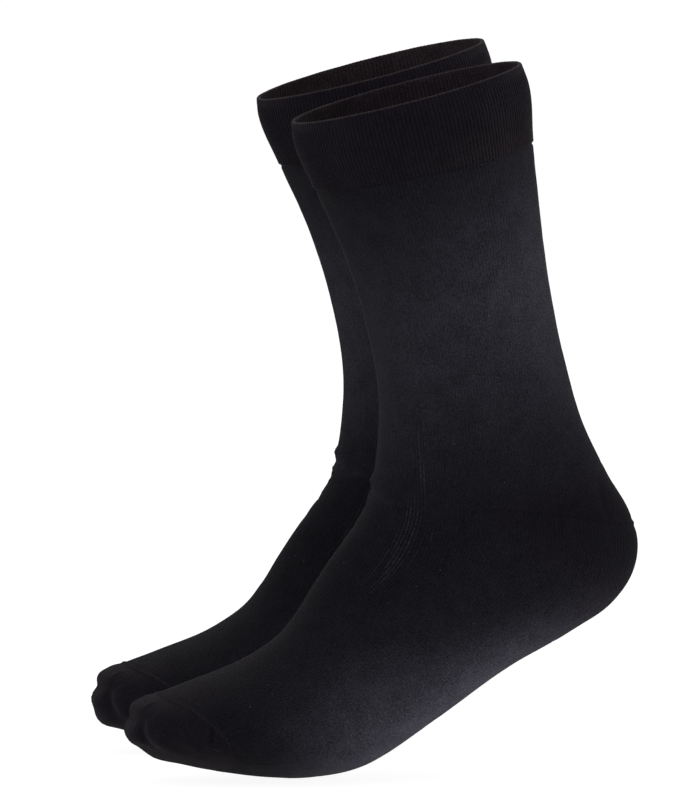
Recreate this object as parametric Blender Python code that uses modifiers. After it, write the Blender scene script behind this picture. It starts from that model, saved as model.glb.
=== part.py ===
"""A pair of plain black knitted crew socks, filled out as if on a foot with its heel raised.

Each sock is knitted in the round from the top down, and its parts are the ones a knitter makes:
a double ribbed cuff, a plain leg, a turned heel pocket, a foot, and a toe cap that is linked on
over the toes. Every part is a thin wall of cloth, and the cuff is left open.

Frame: metres, +Z up, +X towards the heels (the toes point to -X), +Y from the near sock to the
far one. The origin lies midway between the middles of the two cuff openings.

One sock is a tube through upright sections. A section runs from a point on the front line (shin,
instep and tops of the toes) to a point on the back line (calf, heel and sole), and it bulges to
both sides. The table SECTIONS gives one row for each section, from the cuff to the toe tip.
"""

import math
from collections.abc import Callable
from typing import NamedTuple

import bmesh
import bpy
import numpy as np

MM = 0.001

# ---------------------------------------------------------------- driving sizes, in millimetres
SOCK_SPACING = 163.0  # between the middle planes of the two socks
SEAM_GAP = 0.4  # between two parts where they are knitted or linked together
CUFF_WALL = 2.0  # the rib is turned over and knitted in, so it is two layers thick
LEG_WALL = 1.3
HEEL_WALL = 1.5  # heel and toe have a nylon thread knitted in with the cotton
TOE_WALL = 1.4
CUFF_PROUD = 0.3  # how far the thicker cuff stands out from the leg

# ---------------------------------------------------------------- mesh steps
AROUND = 28  # points round a tube
CUFF_ROWS = 4
LEG_ROWS = 10
HEEL_ROWS = 9
FOOT_ROWS = 9
TOE_ROWS = 7
RING_STEPS = 120  # steps that measure half of a ring
EDGE_ROW = 0.15  # a row beside a seam is this share of the others, so that both walls face alike


class Section(NamedTuple):
    """One section of the sock, in millimetres.

    front_x, front_z and back_x, back_z are its ends in the sock's middle plane. widest says where
    along the section it is widest, from 0 at the front to 1 at the back. squareness is 2 where
    the back half is elliptic, and more where it is flatter, as under the foot.
    """

    name: str
    front_x: float
    front_z: float
    back_x: float
    back_z: float
    half_width: float
    widest: float
    squareness: float


SECTIONS = (
    #       name           front_x  front_z   back_x   back_z  half_w widest square
    Section("rim",            -54.5,   -14.1,    54.5,    14.1,   53.0,   0.50,   2.00),
    Section("rim_shoulder",   -53.9,   -20.4,    57.3,     6.6,   54.0,   0.50,   2.00),
    Section("cuff_end",       -43.3,   -46.9,    60.5,   -24.4,   52.5,   0.50,   2.00),
    Section("calf",           -29.7,   -77.4,    63.7,   -55.9,   49.0,   0.50,   2.00),
    Section("shin",           -19.1,  -110.9,    68.3,   -90.9,   43.5,   0.49,   2.00),
    Section("ankle",          -13.1,  -144.9,    75.3,  -125.9,   38.0,   0.48,   2.00),
    Section("above_heel",     -13.9,  -171.9,    86.0,  -161.9,   35.0,   0.46,   2.00),
    Section("heel_top",       -16.1,  -185.9,    96.3,  -182.9,   34.5,   0.44,   2.05),
    Section("heel_back",      -20.9,  -201.4,   108.1,  -203.9,   34.0,   0.43,   2.10),
    Section("heel_tip",       -25.5,  -208.4,   111.3,  -216.9,   33.5,   0.43,   2.15),
    Section("heel_turn",      -30.3,  -214.9,   108.5,  -231.4,   33.2,   0.44,   2.20),
    Section("heel_under",     -35.3,  -221.9,    98.1,  -245.7,   33.2,   0.46,   2.30),
    Section("heel_front",     -40.1,  -228.9,    77.8,  -259.1,   34.0,   0.50,   2.35),
    Section("arch",           -45.5,  -237.4,    49.2,  -275.1,   36.0,   0.55,   2.35),
    Section("waist",          -53.1,  -249.7,    14.7,  -299.3,   39.5,   0.58,   2.30),
    Section("ball",           -64.7,  -262.5,   -21.7,  -322.2,   43.5,   0.58,   2.25),
    Section("toes_back",      -81.7,  -272.7,   -46.7,  -327.3,   44.5,   0.56,   2.20),
    Section("toes",          -100.7,  -280.1,   -66.7,  -327.1,   42.5,   0.54,   2.15),
    Section("toe_seam",      -117.7,  -286.3,   -88.7,  -324.5,   38.5,   0.52,   2.10),
    Section("toe_front",     -126.7,  -288.5,  -107.7,  -321.3,   33.0,   0.50,   2.05),
    Section("toe_round",     -132.3,  -291.5,  -122.7,  -317.5,   25.0,   0.50,   2.00),
    Section("toe_end",       -134.7,  -296.9,  -131.7,  -312.3,   14.0,   0.50,   2.00),
    Section("toe_tip",       -135.5,  -302.5,  -134.9,  -306.5,    3.5,   0.50,   2.00),
)


class HeelPocket(NamedTuple):
    """Where the turned heel sits in the tube.

    It takes the back of the tube, from corner points round on one side to as many on the other.
    Its upper and lower edges start at the same corner on each side, at place side, and spread to
    the places top and bottom at the middle of the back.
    """

    corner: int
    side: float
    top: float
    bottom: float


def place_of(name: str, towards: float = 0.0) -> float:
    """Gives the place of a section along the tube, in rows of SECTIONS.

    Args:
        name: The section's name.
        towards: The share of the way on to the next section.
    """
    return [row.name for row in SECTIONS].index(name) + towards


HEEL = HeelPocket(
    corner=6, side=place_of("heel_top", 0.60), top=place_of("above_heel", 0.75),
    bottom=place_of("heel_front", 0.30),
)
HEEL_CORNER_GAP = 0.9  # millimetres from the corner to the heel's pointed end

TOE_SEAM = place_of("toe_seam", 0.2)  # where the toe cap's edge crosses the top and the sole
TOE_SEAM_SWEEP = 0.8  # how much further back it lies at the sides, in rows of the table


def smooth_row(place: np.ndarray) -> np.ndarray:
    """Reads the section table between its rows, on a smooth curve through them.

    Args:
        place: Places along the tube, in rows of the table.

    Returns:
        One row of the seven sizes for each place.
    """
    table = np.array([row[1:] for row in SECTIONS], dtype=float)
    ends = np.stack((table[:, :2], table[:, 2:4]))
    steps = np.linalg.norm(np.diff(ends, axis=1), axis=2).mean(axis=0)
    knots = np.concatenate(((0.0,), np.cumsum(steps)))
    at = np.interp(place, np.arange(len(knots)), knots)

    slopes = np.gradient(table, knots, axis=0)
    low = np.clip(np.searchsorted(knots, at, side="right") - 1, 0, len(knots) - 2)
    width = (knots[low + 1] - knots[low])[:, None]
    t = (at[:, None] - knots[low][:, None]) / width
    return (
        table[low] * (1 + 2 * t) * (1 - t) ** 2
        + slopes[low] * width * t * (1 - t) ** 2
        + table[low + 1] * t * t * (3 - 2 * t)
        + slopes[low + 1] * width * t * t * (t - 1)
    )


def tube_points(place: np.ndarray, u: np.ndarray, proud: float = 0.0) -> np.ndarray:
    """Gives points on the sock's outer face, in millimetres.

    Stitches are spaced evenly round a knitted tube, so u runs evenly round each section.

    Args:
        place: Places along the tube, in rows of the section table.
        u: Shares of the way round from the front line, over the near side at 0.25, to the back
            line at 0.5, and over the far side at 0.75. As many as there are places.
        proud: How far the points stand out from the table's sizes.

    Returns:
        One row of x, y and z for each pair of place and u.
    """
    size = smooth_row(place)
    front, back = size[:, 0:2], size[:, 2:4]
    half_width, widest, squareness = size[:, 4:5], size[:, 5:6], size[:, 6:7]

    turn = np.linspace(0.0, math.pi, RING_STEPS + 1)[None, :]
    power = np.where(turn > math.pi / 2, 2.0 / squareness, 1.0)
    along = np.sign(np.cos(turn)) * np.abs(np.cos(turn)) ** power
    across = np.sin(turn) ** power
    along = along + (1.0 - 2.0 * widest) * (1.0 - along**2)
    across[:, (0, -1)] = 0.0

    half_length = np.linalg.norm(front - back, axis=1)[:, None] / 2 + proud
    along, across = along * half_length, across * (half_width + proud)
    steps = np.hypot(np.diff(along, axis=1), np.diff(across, axis=1))
    run = np.concatenate((np.zeros((len(steps), 1)), np.cumsum(steps, axis=1)), axis=1)

    share = 1.0 - np.abs(1.0 - 2.0 * (u % 1.0))
    side = np.where(u % 1.0 <= 0.5, -1.0, 1.0)
    at = share * run[:, -1]
    on_run = [
        (np.interp(a, r, x), np.interp(a, r, y)) for a, r, x, y in zip(at, run, along, across)
    ]
    on_along, on_across = np.array(on_run).T

    middle = (front + back) / 2
    forward = (front - back) / np.linalg.norm(front - back, axis=1)[:, None]
    flat = middle + forward * on_along[:, None]
    return np.stack((flat[:, 0], side * on_across, flat[:, 1]), axis=1)


def heel_edge(u: np.ndarray, end: float) -> np.ndarray:
    """Gives the place of a heel edge at each u, level at the side and then out to its end.

    Args:
        u: Shares of the way round.
        end: The edge's place at the middle of the back.
    """
    start = math.cos(2 * math.pi * HEEL.corner / AROUND)
    spread = (start - np.cos(2 * math.pi * u)) / (start + 1.0)
    return HEEL.side + (end - HEEL.side) * np.clip(spread, 0.0, None)


def toe_edge(u: np.ndarray) -> np.ndarray:
    """Gives the place of the toe cap's edge at each u, which lies further back at the sides."""
    return TOE_SEAM - TOE_SEAM_SWEEP * np.sin(2 * math.pi * u) ** 2


def level(place: float) -> Callable[[np.ndarray], np.ndarray]:
    """Gives an edge that stays at one place all round."""
    return lambda u: np.full_like(u, place)


def drawn_back(edge: np.ndarray, inner: np.ndarray, closed: bool) -> np.ndarray:
    """Moves an edge into its own part by half of the seam gap, square to the edge.

    Args:
        edge: The edge's points, in order.
        inner: The next row of points inside the part.
        closed: Whether the edge is a ring.

    Returns:
        The moved points.
    """
    if closed:
        tangent = np.roll(edge, -1, axis=0) - np.roll(edge, 1, axis=0)
    else:
        tangent = np.gradient(edge, axis=0)
    tangent /= np.linalg.norm(tangent, axis=1)[:, None]
    inward = inner - edge
    inward -= (inward * tangent).sum(axis=1)[:, None] * tangent
    inward /= np.linalg.norm(inward, axis=1)[:, None]
    return edge + inward * SEAM_GAP / 2


def row_shares(rows: int) -> np.ndarray:
    """Gives how far along a part each of its rows lies, from 0 to 1, closer at both ends."""
    steps = np.ones(rows)
    steps[[0, -1]] = EDGE_ROW
    return np.concatenate(((0.0,), np.cumsum(steps))) / steps.sum()


def tube_grid(
    first: Callable, last: Callable, rows: int, proud: float = 0.0,
    seam_first: bool = True, seam_last: bool = True,
) -> np.ndarray:
    """Gives the points of a part that goes all round the tube.

    Args:
        first: The part's upper edge, as a function from u to places.
        last: Its lower edge.
        rows: The number of steps from one to the other.
        proud: How far it stands out.
        seam_first: Whether a neighbour meets the upper edge.
        seam_last: Whether one meets the lower edge.

    Returns:
        An array of rows + 1 rings of AROUND points.
    """
    u = np.arange(AROUND) / AROUND
    grid = np.array([
        tube_points(first(u) + (last(u) - first(u)) * share, u, proud)
        for share in row_shares(rows)
    ])
    if seam_first:
        grid[0] = drawn_back(grid[0], grid[1], closed=True)
    if seam_last:
        grid[-1] = drawn_back(grid[-1], grid[-2], closed=True)
    return grid


def heel_grid() -> tuple[np.ndarray, np.ndarray]:
    """Gives the points of the heel pocket, from its upper edge to its lower one.

    Returns:
        An array of rows of points, which line up with those of the leg and the foot, and the two
        points in which the pocket ends at its sides.
    """
    u = np.arange(HEEL.corner + 1, AROUND - HEEL.corner) / AROUND
    top, bottom = heel_edge(u, HEEL.top), heel_edge(u, HEEL.bottom)
    grid = np.array([
        tube_points(top + (bottom - top) * share, u) for share in row_shares(HEEL_ROWS)
    ])
    corner_u = np.array((HEEL.corner, AROUND - HEEL.corner)) / AROUND
    corners = tube_points(np.full_like(corner_u, HEEL.side), corner_u)
    inward = grid[:, (0, -1)].mean(axis=0) - corners
    tips = corners + inward / np.linalg.norm(inward, axis=1)[:, None] * HEEL_CORNER_GAP
    grid[0] = drawn_back(grid[0], grid[1], closed=False)
    grid[-1] = drawn_back(grid[-1], grid[-2], closed=False)
    return grid, tips


def cloth_mesh(name: str, grid: np.ndarray, ring: bool) -> bpy.types.Mesh:
    """Makes the open outer face of a part from its grid of points.

    Args:
        name: The mesh's name.
        grid: Rows of points, in millimetres.
        ring: Whether each row closes on itself.

    Returns:
        The mesh, in metres, with its faces pointing out.
    """
    rows, count = grid.shape[:2]
    corners = np.arange(rows * count).reshape(rows, count)
    across = count if ring else count - 1
    faces = [
        (corners[row, i], corners[row + 1, i], corners[row + 1, (i + 1) % count],
         corners[row, (i + 1) % count])
        for row in range(rows - 1) for i in range(across)
    ]
    mesh = bpy.data.meshes.new(name)
    mesh.from_pydata(grid.reshape(-1, 3) * MM, [], faces)
    return mesh


def close_tip(mesh: bpy.types.Mesh) -> None:
    """Closes the last ring of a toe cap with strips from side to side."""
    bm = bmesh.new()
    bm.from_mesh(mesh)
    tip = list(bm.verts)[-AROUND:]
    middle = AROUND // 2
    bm.faces.new((tip[0], tip[-1], tip[1]))
    for i in range(1, middle - 1):
        bm.faces.new((tip[i], tip[-i], tip[-i - 1], tip[i + 1]))
    bm.faces.new((tip[middle - 1], tip[middle + 1], tip[middle]))
    bm.to_mesh(mesh)
    bm.free()


def point_sides(mesh: bpy.types.Mesh, tips: np.ndarray) -> None:
    """Runs the two sides of a heel pocket out to their pointed ends."""
    bm = bmesh.new()
    bm.from_mesh(mesh)
    verts = list(bm.verts)
    across = len(verts) // (HEEL_ROWS + 1)
    near_side, far_side = verts[::across], verts[across - 1::across]
    near_tip, far_tip = (bm.verts.new(tip * MM) for tip in tips)
    for row in range(HEEL_ROWS):
        bm.faces.new((near_tip, near_side[row + 1], near_side[row]))
        bm.faces.new((far_tip, far_side[row], far_side[row + 1]))
    bm.to_mesh(mesh)
    bm.free()


def knit_material(name: str, colour: tuple, roughness: float) -> bpy.types.Material:
    """Makes a plain material of one colour.

    Args:
        name: The material's name.
        colour: Red, green and blue, linear.
        roughness: The shader's roughness.
    """
    material = bpy.data.materials.new(name)
    material.use_nodes = True
    shader = material.node_tree.nodes["Principled BSDF"]
    shader.inputs["Base Color"].default_value = (*colour, 1.0)
    shader.inputs["Roughness"].default_value = roughness
    shader.inputs["Metallic"].default_value = 0.0
    material.diffuse_color = (*colour, 1.0)
    return material


def add_part(
    collection: bpy.types.Collection, parent: bpy.types.Object, name: str,
    mesh: bpy.types.Mesh, material: bpy.types.Material, wall: float,
) -> bpy.types.Object:
    """Adds a part of a sock, with its wall built inwards from its outer face.

    Args:
        collection: Where the part goes.
        parent: The empty that places its sock.
        name: The part's name.
        mesh: Its outer face.
        material: Its material.
        wall: The wall's thickness, in millimetres.

    Returns:
        The new object.
    """
    part = bpy.data.objects.new(name, mesh)
    collection.objects.link(part)
    part.parent = parent
    if not mesh.materials:
        mesh.materials.append(material)
    thicken = part.modifiers.new("wall", "SOLIDIFY")
    thicken.thickness = wall * MM
    thicken.offset = -1.0
    thicken.use_even_offset = True
    thicken.use_rim = True
    return part


def build() -> None:
    """Builds both socks in one collection."""
    for old in list(bpy.data.objects):
        bpy.data.objects.remove(old, do_unlink=True)

    rim, cuff_end, toe_tip = (level(place_of(name)) for name in ("rim", "cuff_end", "toe_tip"))
    leg_end: Callable = lambda u: heel_edge(u, HEEL.top)
    foot_start: Callable = lambda u: heel_edge(u, HEEL.bottom)

    cuff = tube_grid(rim, cuff_end, CUFF_ROWS, proud=CUFF_PROUD, seam_first=False)
    leg = tube_grid(cuff_end, leg_end, LEG_ROWS)
    foot = tube_grid(foot_start, toe_edge, FOOT_ROWS)
    toe = tube_grid(toe_edge, toe_tip, TOE_ROWS, seam_last=False)

    heel, heel_tips = heel_grid()

    meshes = {
        "cuff": (cloth_mesh("cuff", cuff, ring=True), CUFF_WALL),
        "leg": (cloth_mesh("leg", leg, ring=True), LEG_WALL),
        "heel": (cloth_mesh("heel", heel, ring=False), HEEL_WALL),
        "foot": (cloth_mesh("foot", foot, ring=True), LEG_WALL),
        "toe": (cloth_mesh("toe", toe, ring=True), TOE_WALL),
    }
    point_sides(meshes["heel"][0], heel_tips)
    close_tip(meshes["toe"][0])
    for mesh, _ in meshes.values():
        mesh.shade_smooth()
    materials = {
        "cuff": knit_material("black_rib_knit", (0.010, 0.009, 0.011), 0.92),
        "leg": knit_material("black_plain_knit", (0.013, 0.013, 0.016), 0.88),
        "heel": knit_material("black_heel_knit", (0.011, 0.011, 0.013), 0.90),
        "foot": knit_material("black_foot_knit", (0.013, 0.013, 0.016), 0.88),
        "toe": knit_material("black_toe_knit", (0.011, 0.011, 0.013), 0.90),
    }

    collection = bpy.data.collections.new("pair_of_socks")
    bpy.context.scene.collection.children.link(collection)
    for sock, side in (("near_sock", -1.0), ("far_sock", 1.0)):
        holder = bpy.data.objects.new(sock, None)
        holder.location.y = side * SOCK_SPACING / 2 * MM
        collection.objects.link(holder)
        for part, (mesh, wall) in meshes.items():
            add_part(collection, holder, f"{sock}_{part}", mesh, materials[part], wall)


build()
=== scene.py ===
"""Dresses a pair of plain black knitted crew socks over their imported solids.

Each sock is four pieces of knitted cloth that meet edge to edge: a turned-over ribbed cuff, a body
that is leg, instep and foot in one tube, a turned heel pocket and a toe cap. The linking stitches
over the toes, stray fibres and lint are pieces of their own.

Sizes are in millimetres until a mesh is made, which is in metres. A point on a sock is given by its
place along the tube, in rows of SECTIONS, and by u, its share of the way round: 0 on the front line,
0.25 on the near side, 0.5 on the back line and 0.75 on the far side.
"""

import logging
import math
from dataclasses import dataclass, field
from enum import Enum
from typing import NamedTuple

import bpy
import numpy as np
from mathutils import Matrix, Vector

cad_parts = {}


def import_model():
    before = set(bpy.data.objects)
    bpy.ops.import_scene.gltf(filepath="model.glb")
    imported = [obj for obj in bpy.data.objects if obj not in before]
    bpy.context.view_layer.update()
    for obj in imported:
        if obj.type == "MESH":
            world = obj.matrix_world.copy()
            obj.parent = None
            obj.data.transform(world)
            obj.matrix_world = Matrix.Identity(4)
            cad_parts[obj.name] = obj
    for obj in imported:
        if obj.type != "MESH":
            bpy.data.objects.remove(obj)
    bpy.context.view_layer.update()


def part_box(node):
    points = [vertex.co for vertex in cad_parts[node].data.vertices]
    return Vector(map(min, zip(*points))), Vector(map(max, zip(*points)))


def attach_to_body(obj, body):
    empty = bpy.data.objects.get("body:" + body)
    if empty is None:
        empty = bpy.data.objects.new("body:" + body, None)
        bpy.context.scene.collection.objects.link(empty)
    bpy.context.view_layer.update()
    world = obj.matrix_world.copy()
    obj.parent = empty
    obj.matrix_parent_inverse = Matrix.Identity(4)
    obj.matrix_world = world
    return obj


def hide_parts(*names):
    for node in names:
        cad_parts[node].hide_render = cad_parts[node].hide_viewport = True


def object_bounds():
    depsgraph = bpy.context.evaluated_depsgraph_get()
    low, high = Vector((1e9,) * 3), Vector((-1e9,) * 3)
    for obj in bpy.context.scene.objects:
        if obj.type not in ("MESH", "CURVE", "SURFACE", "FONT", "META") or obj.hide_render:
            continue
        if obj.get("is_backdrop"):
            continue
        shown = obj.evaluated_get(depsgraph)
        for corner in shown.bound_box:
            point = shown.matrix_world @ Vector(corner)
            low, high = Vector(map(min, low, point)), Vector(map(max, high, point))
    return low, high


MM = 0.001
log = logging.getLogger("socks")


class Section(NamedTuple):
    """One section of a sock, in millimetres, as in the part's own table."""

    name: str
    front_x: float
    front_z: float
    back_x: float
    back_z: float
    half_width: float
    widest: float
    squareness: float


SECTIONS = (
    #       name           front_x  front_z   back_x   back_z  half_w widest square
    Section("rim",            -54.5,   -14.1,    54.5,    14.1,   53.0,   0.50,   2.00),
    Section("rim_shoulder",   -53.9,   -20.4,    57.3,     6.6,   54.0,   0.50,   2.00),
    Section("cuff_end",       -43.3,   -46.9,    60.5,   -24.4,   52.5,   0.50,   2.00),
    Section("calf",           -29.7,   -77.4,    63.7,   -55.9,   49.0,   0.50,   2.00),
    Section("shin",           -19.1,  -110.9,    68.3,   -90.9,   43.5,   0.49,   2.00),
    Section("ankle",          -13.1,  -144.9,    75.3,  -125.9,   38.0,   0.48,   2.00),
    Section("above_heel",     -13.9,  -171.9,    86.0,  -161.9,   35.0,   0.46,   2.00),
    Section("heel_top",       -16.1,  -185.9,    96.3,  -182.9,   34.5,   0.44,   2.05),
    Section("heel_back",      -20.9,  -201.4,   108.1,  -203.9,   34.0,   0.43,   2.10),
    Section("heel_tip",       -25.5,  -208.4,   111.3,  -216.9,   33.5,   0.43,   2.15),
    Section("heel_turn",      -30.3,  -214.9,   108.5,  -231.4,   33.2,   0.44,   2.20),
    Section("heel_under",     -35.3,  -221.9,    98.1,  -245.7,   33.2,   0.46,   2.30),
    Section("heel_front",     -40.1,  -228.9,    77.8,  -259.1,   34.0,   0.50,   2.35),
    Section("arch",           -45.5,  -237.4,    49.2,  -275.1,   36.0,   0.55,   2.35),
    Section("waist",          -53.1,  -249.7,    14.7,  -299.3,   39.5,   0.58,   2.30),
    Section("ball",           -64.7,  -262.5,   -21.7,  -322.2,   43.5,   0.58,   2.25),
    Section("toes_back",      -81.7,  -272.7,   -46.7,  -327.3,   44.5,   0.56,   2.20),
    Section("toes",          -100.7,  -280.1,   -66.7,  -327.1,   42.5,   0.54,   2.15),
    Section("toe_seam",      -117.7,  -286.3,   -88.7,  -324.5,   38.5,   0.52,   2.10),
    Section("toe_front",     -126.7,  -288.5,  -107.7,  -321.3,   33.0,   0.50,   2.05),
    Section("toe_round",     -132.3,  -291.5,  -122.7,  -317.5,   25.0,   0.50,   2.00),
    Section("toe_end",       -134.7,  -296.9,  -131.7,  -312.3,   14.0,   0.50,   2.00),
    Section("toe_tip",       -135.5,  -302.5,  -134.9,  -306.5,    3.5,   0.50,   2.00),
)

# ---------------------------------------------------------------- the knit
WALES = 176  # columns of stitches round the tube
COURSE = 1.15  # height of a row of stitches, in millimetres
HEEL_CORNER = 38  # wales from the front line to the corner where the heel pocket starts
GROOVE_SHARE = 0.6  # the share of a wale's height that lies below the cloth's even face
UNEVENNESS = 0.5  # how far the cloth wanders in and out, in millimetres


def place_of(name: str, towards: float = 0.0) -> float:
    """Gives the place of a section along the tube, in rows of SECTIONS.

    Args:
        name: The section's name.
        towards: The share of the way on to the next section.

    Returns:
        The place.
    """
    return [row.name for row in SECTIONS].index(name) + towards


HEEL_SIDE = place_of("heel_top", 0.60)
HEEL_UPPER = place_of("above_heel", 0.75)
HEEL_LOWER = place_of("heel_front", 0.30)
TOE_SEAM = place_of("toe_seam", 0.2)
TOE_SEAM_SWEEP = 0.8


def heel_edge(u: np.ndarray, end: float) -> np.ndarray:
    """Gives the place of a heel edge at each u, level at the side and then out to its end.

    Args:
        u: Shares of the way round.
        end: The edge's place at the middle of the back.

    Returns:
        The places.
    """
    start = math.cos(2 * math.pi * HEEL_CORNER / WALES)
    spread = (start - np.cos(2 * math.pi * u)) / (start + 1.0)
    return HEEL_SIDE + (end - HEEL_SIDE) * np.clip(spread, 0.0, None)


def toe_edge(u: np.ndarray) -> np.ndarray:
    """Gives the place of the toe cap's edge at each u, which lies further back at the sides."""
    return TOE_SEAM - TOE_SEAM_SWEEP * np.sin(2 * math.pi * u) ** 2


def soft_step(value: np.ndarray) -> np.ndarray:
    """Rises smoothly from 0 to 1 as the value goes from 0 to 1."""
    t = np.clip(value, 0.0, 1.0)
    return t * t * (3.0 - 2.0 * t)


def dip(away: np.ndarray, depth: float, width: float) -> np.ndarray:
    """Sinks by a depth at an edge, and by nothing from a width away from it."""
    return -depth * (1.0 - soft_step(away / width))


def ridge(away: np.ndarray, rise: float, width: float) -> np.ndarray:
    """Rises by a rounded ridge where the distance from its line is 0."""
    return rise * np.exp(-((away / width) ** 2))


@dataclass
class SockForm:
    """The smooth outer face of a sock about its own middle plane, in millimetres.

    Attributes:
        fine: How many rings are worked out for each row of SECTIONS.
        shares: How many points are worked out along half of a ring.
        turns: How many steps measure half of a ring.
    """

    fine: int = 24
    shares: int = 321
    turns: int = 240
    knots: np.ndarray = field(init=False)
    rings: np.ndarray = field(init=False)

    def __post_init__(self) -> None:
        """Works out the rings that points() reads between."""
        table = np.array([row[1:] for row in SECTIONS], dtype=float)
        ends = np.stack((table[:, :2], table[:, 2:4]))
        steps = np.linalg.norm(np.diff(ends, axis=1), axis=2).mean(axis=0)
        self.knots = np.concatenate(((0.0,), np.cumsum(steps)))
        places = np.arange((len(SECTIONS) - 1) * self.fine + 1) / self.fine
        self.rings = self._rings(self._rows(table, places))

    def _rows(self, table: np.ndarray, place: np.ndarray) -> np.ndarray:
        """Reads the section table between its rows, on a smooth curve through them."""
        at = self.length(place)
        knots = self.knots
        slopes = np.gradient(table, knots, axis=0)
        low = np.clip(np.searchsorted(knots, at, side="right") - 1, 0, len(knots) - 2)
        width = (knots[low + 1] - knots[low])[:, None]
        t = (at[:, None] - knots[low][:, None]) / width
        return (
            table[low] * (1 + 2 * t) * (1 - t) ** 2
            + slopes[low] * width * t * (1 - t) ** 2
            + table[low + 1] * t * t * (3 - 2 * t)
            + slopes[low + 1] * width * t * t * (t - 1)
        )

    def _rings(self, size: np.ndarray) -> np.ndarray:
        """Gives x, y and z at even shares of half of each ring, from the front line to the back line."""
        front, back = size[:, 0:2], size[:, 2:4]
        half_width, widest, squareness = size[:, 4:5], size[:, 5:6], size[:, 6:7]
        turn = np.linspace(0.0, math.pi, self.turns + 1)[None, :]
        power = np.where(turn > math.pi / 2, 2.0 / squareness, 1.0)
        along = np.sign(np.cos(turn)) * np.abs(np.cos(turn)) ** power
        across = np.sin(turn) ** power
        along = along + (1.0 - 2.0 * widest) * (1.0 - along**2)
        across[:, (0, -1)] = 0.0
        half_length = np.linalg.norm(front - back, axis=1)[:, None] / 2
        along, across = along * half_length, across * half_width
        steps = np.hypot(np.diff(along, axis=1), np.diff(across, axis=1))
        run = np.concatenate((np.zeros((len(steps), 1)), np.cumsum(steps, axis=1)), axis=1)
        share = np.linspace(0.0, 1.0, self.shares)
        flat = np.array([
            (np.interp(share * r[-1], r, x), np.interp(share * r[-1], r, y))
            for r, x, y in zip(run, along, across)
        ])
        forward = (front - back) / np.linalg.norm(front - back, axis=1)[:, None]
        middle = (front + back) / 2
        on_plane = middle[:, None, :] + forward[:, None, :] * flat[:, 0, :, None]
        return np.stack((on_plane[..., 0], flat[:, 1], on_plane[..., 1]), axis=-1)

    def length(self, place: np.ndarray) -> np.ndarray:
        """Gives the mean length of cloth from the rim to each place."""
        return np.interp(place, np.arange(len(self.knots)), self.knots)

    def place_at(self, length: np.ndarray) -> np.ndarray:
        """Gives the place that lies at each mean length from the rim."""
        return np.interp(length, self.knots, np.arange(len(self.knots)))

    def points(self, place: np.ndarray, u: np.ndarray) -> np.ndarray:
        """Gives points on the outer face.

        Args:
            place: Places along the tube.
            u: Shares of the way round, in an array that fits place.

        Returns:
            Their x, y and z on a last axis.
        """
        place, u = np.broadcast_arrays(place, u)
        row = np.clip(place * self.fine, 0.0, len(self.rings) - 1.001)
        share = (1.0 - np.abs(1.0 - 2.0 * (u % 1.0))) * (self.shares - 1)
        share = np.clip(share, 0.0, self.shares - 1.001)
        r, s = row.astype(int), share.astype(int)
        fr, fs = (row - r)[..., None], (share - s)[..., None]
        found = (
            self.rings[r, s] * (1 - fr) * (1 - fs) + self.rings[r, s + 1] * (1 - fr) * fs
            + self.rings[r + 1, s] * fr * (1 - fs) + self.rings[r + 1, s + 1] * fr * fs
        )
        found[..., 1] *= np.where(u % 1.0 <= 0.5, -1.0, 1.0)
        return found

    def normals(self, place: np.ndarray, u: np.ndarray) -> np.ndarray:
        """Gives the directions that point out of the cloth at each place and u."""
        step_place, step_u = 0.06, 0.004
        low = np.clip(place - step_place, 0.0, None)
        high = np.clip(place + step_place, None, len(SECTIONS) - 1.05)
        down = self.points(high, u) - self.points(low, u)
        ahead, behind = self.points(place, u + step_u), self.points(place, u - step_u)
        out = np.cross(down, ahead - behind)
        return out / np.maximum(np.linalg.norm(out, axis=-1, keepdims=True), 1e-9)


@dataclass(frozen=True)
class Crease:
    """A soft trough or ridge in the cloth, laid along a given short line.

    Attributes:
        line: The place and u of each point that it passes through.
        rise: How far it stands out in its middle, in millimetres. A trough is negative.
        half_width: How far it reaches to each side of its line, in millimetres.
        fade: The share of its length over which each end dies away.
        twin_rise: The rise of the one like it on the sock's far side, as a share of this one's.
        twin_shift: How far along the tube that one is moved, in rows of SECTIONS.
    """

    line: tuple[tuple[float, float], ...]
    rise: float
    half_width: float
    fade: float = 0.35
    twin_rise: float = 0.8
    twin_shift: float = 0.08

    def on(self, form: SockForm, points: np.ndarray) -> np.ndarray:
        """Gives how far each point is moved out.

        Args:
            form: The sock's form.
            points: Points on it, with x, y and z on the last axis.

        Returns:
            The moves, in millimetres.
        """
        line = np.array(self.line)
        twin = np.stack((line[:, 0] + self.twin_shift, 1.0 - line[:, 1]), axis=1)
        near, far = self._one(form, points, line), self._one(form, points, twin)
        return near * self.rise + far * self.rise * self.twin_rise

    def _one(self, form: SockForm, points: np.ndarray, line: np.ndarray) -> np.ndarray:
        """Gives the share of the rise at each point, for one line."""
        knots = np.arange(len(line))
        t = np.linspace(0, len(line) - 1, 16 * len(line))
        path = form.points(np.interp(t, knots, line[:, 0]), np.interp(t, knots, line[:, 1]))
        share = np.zeros(points.shape[:-1])
        low, high = path.min(axis=0) - self.half_width, path.max(axis=0) + self.half_width
        close = ((points >= low) & (points <= high)).all(axis=-1)
        if not close.any():
            return share
        some = points[close]
        apart = np.linalg.norm(some[:, None, :] - path[None, :, :], axis=2)
        nearest = apart.argmin(axis=1)
        reach = apart[np.arange(len(some)), nearest] / self.half_width
        along = nearest / (len(path) - 1)
        ends = soft_step(along / self.fade) * soft_step((1.0 - along) / self.fade)
        share[close] = (0.5 + 0.5 * np.cos(math.pi * np.clip(reach, 0.0, 1.0))) * ends
        return share


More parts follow.
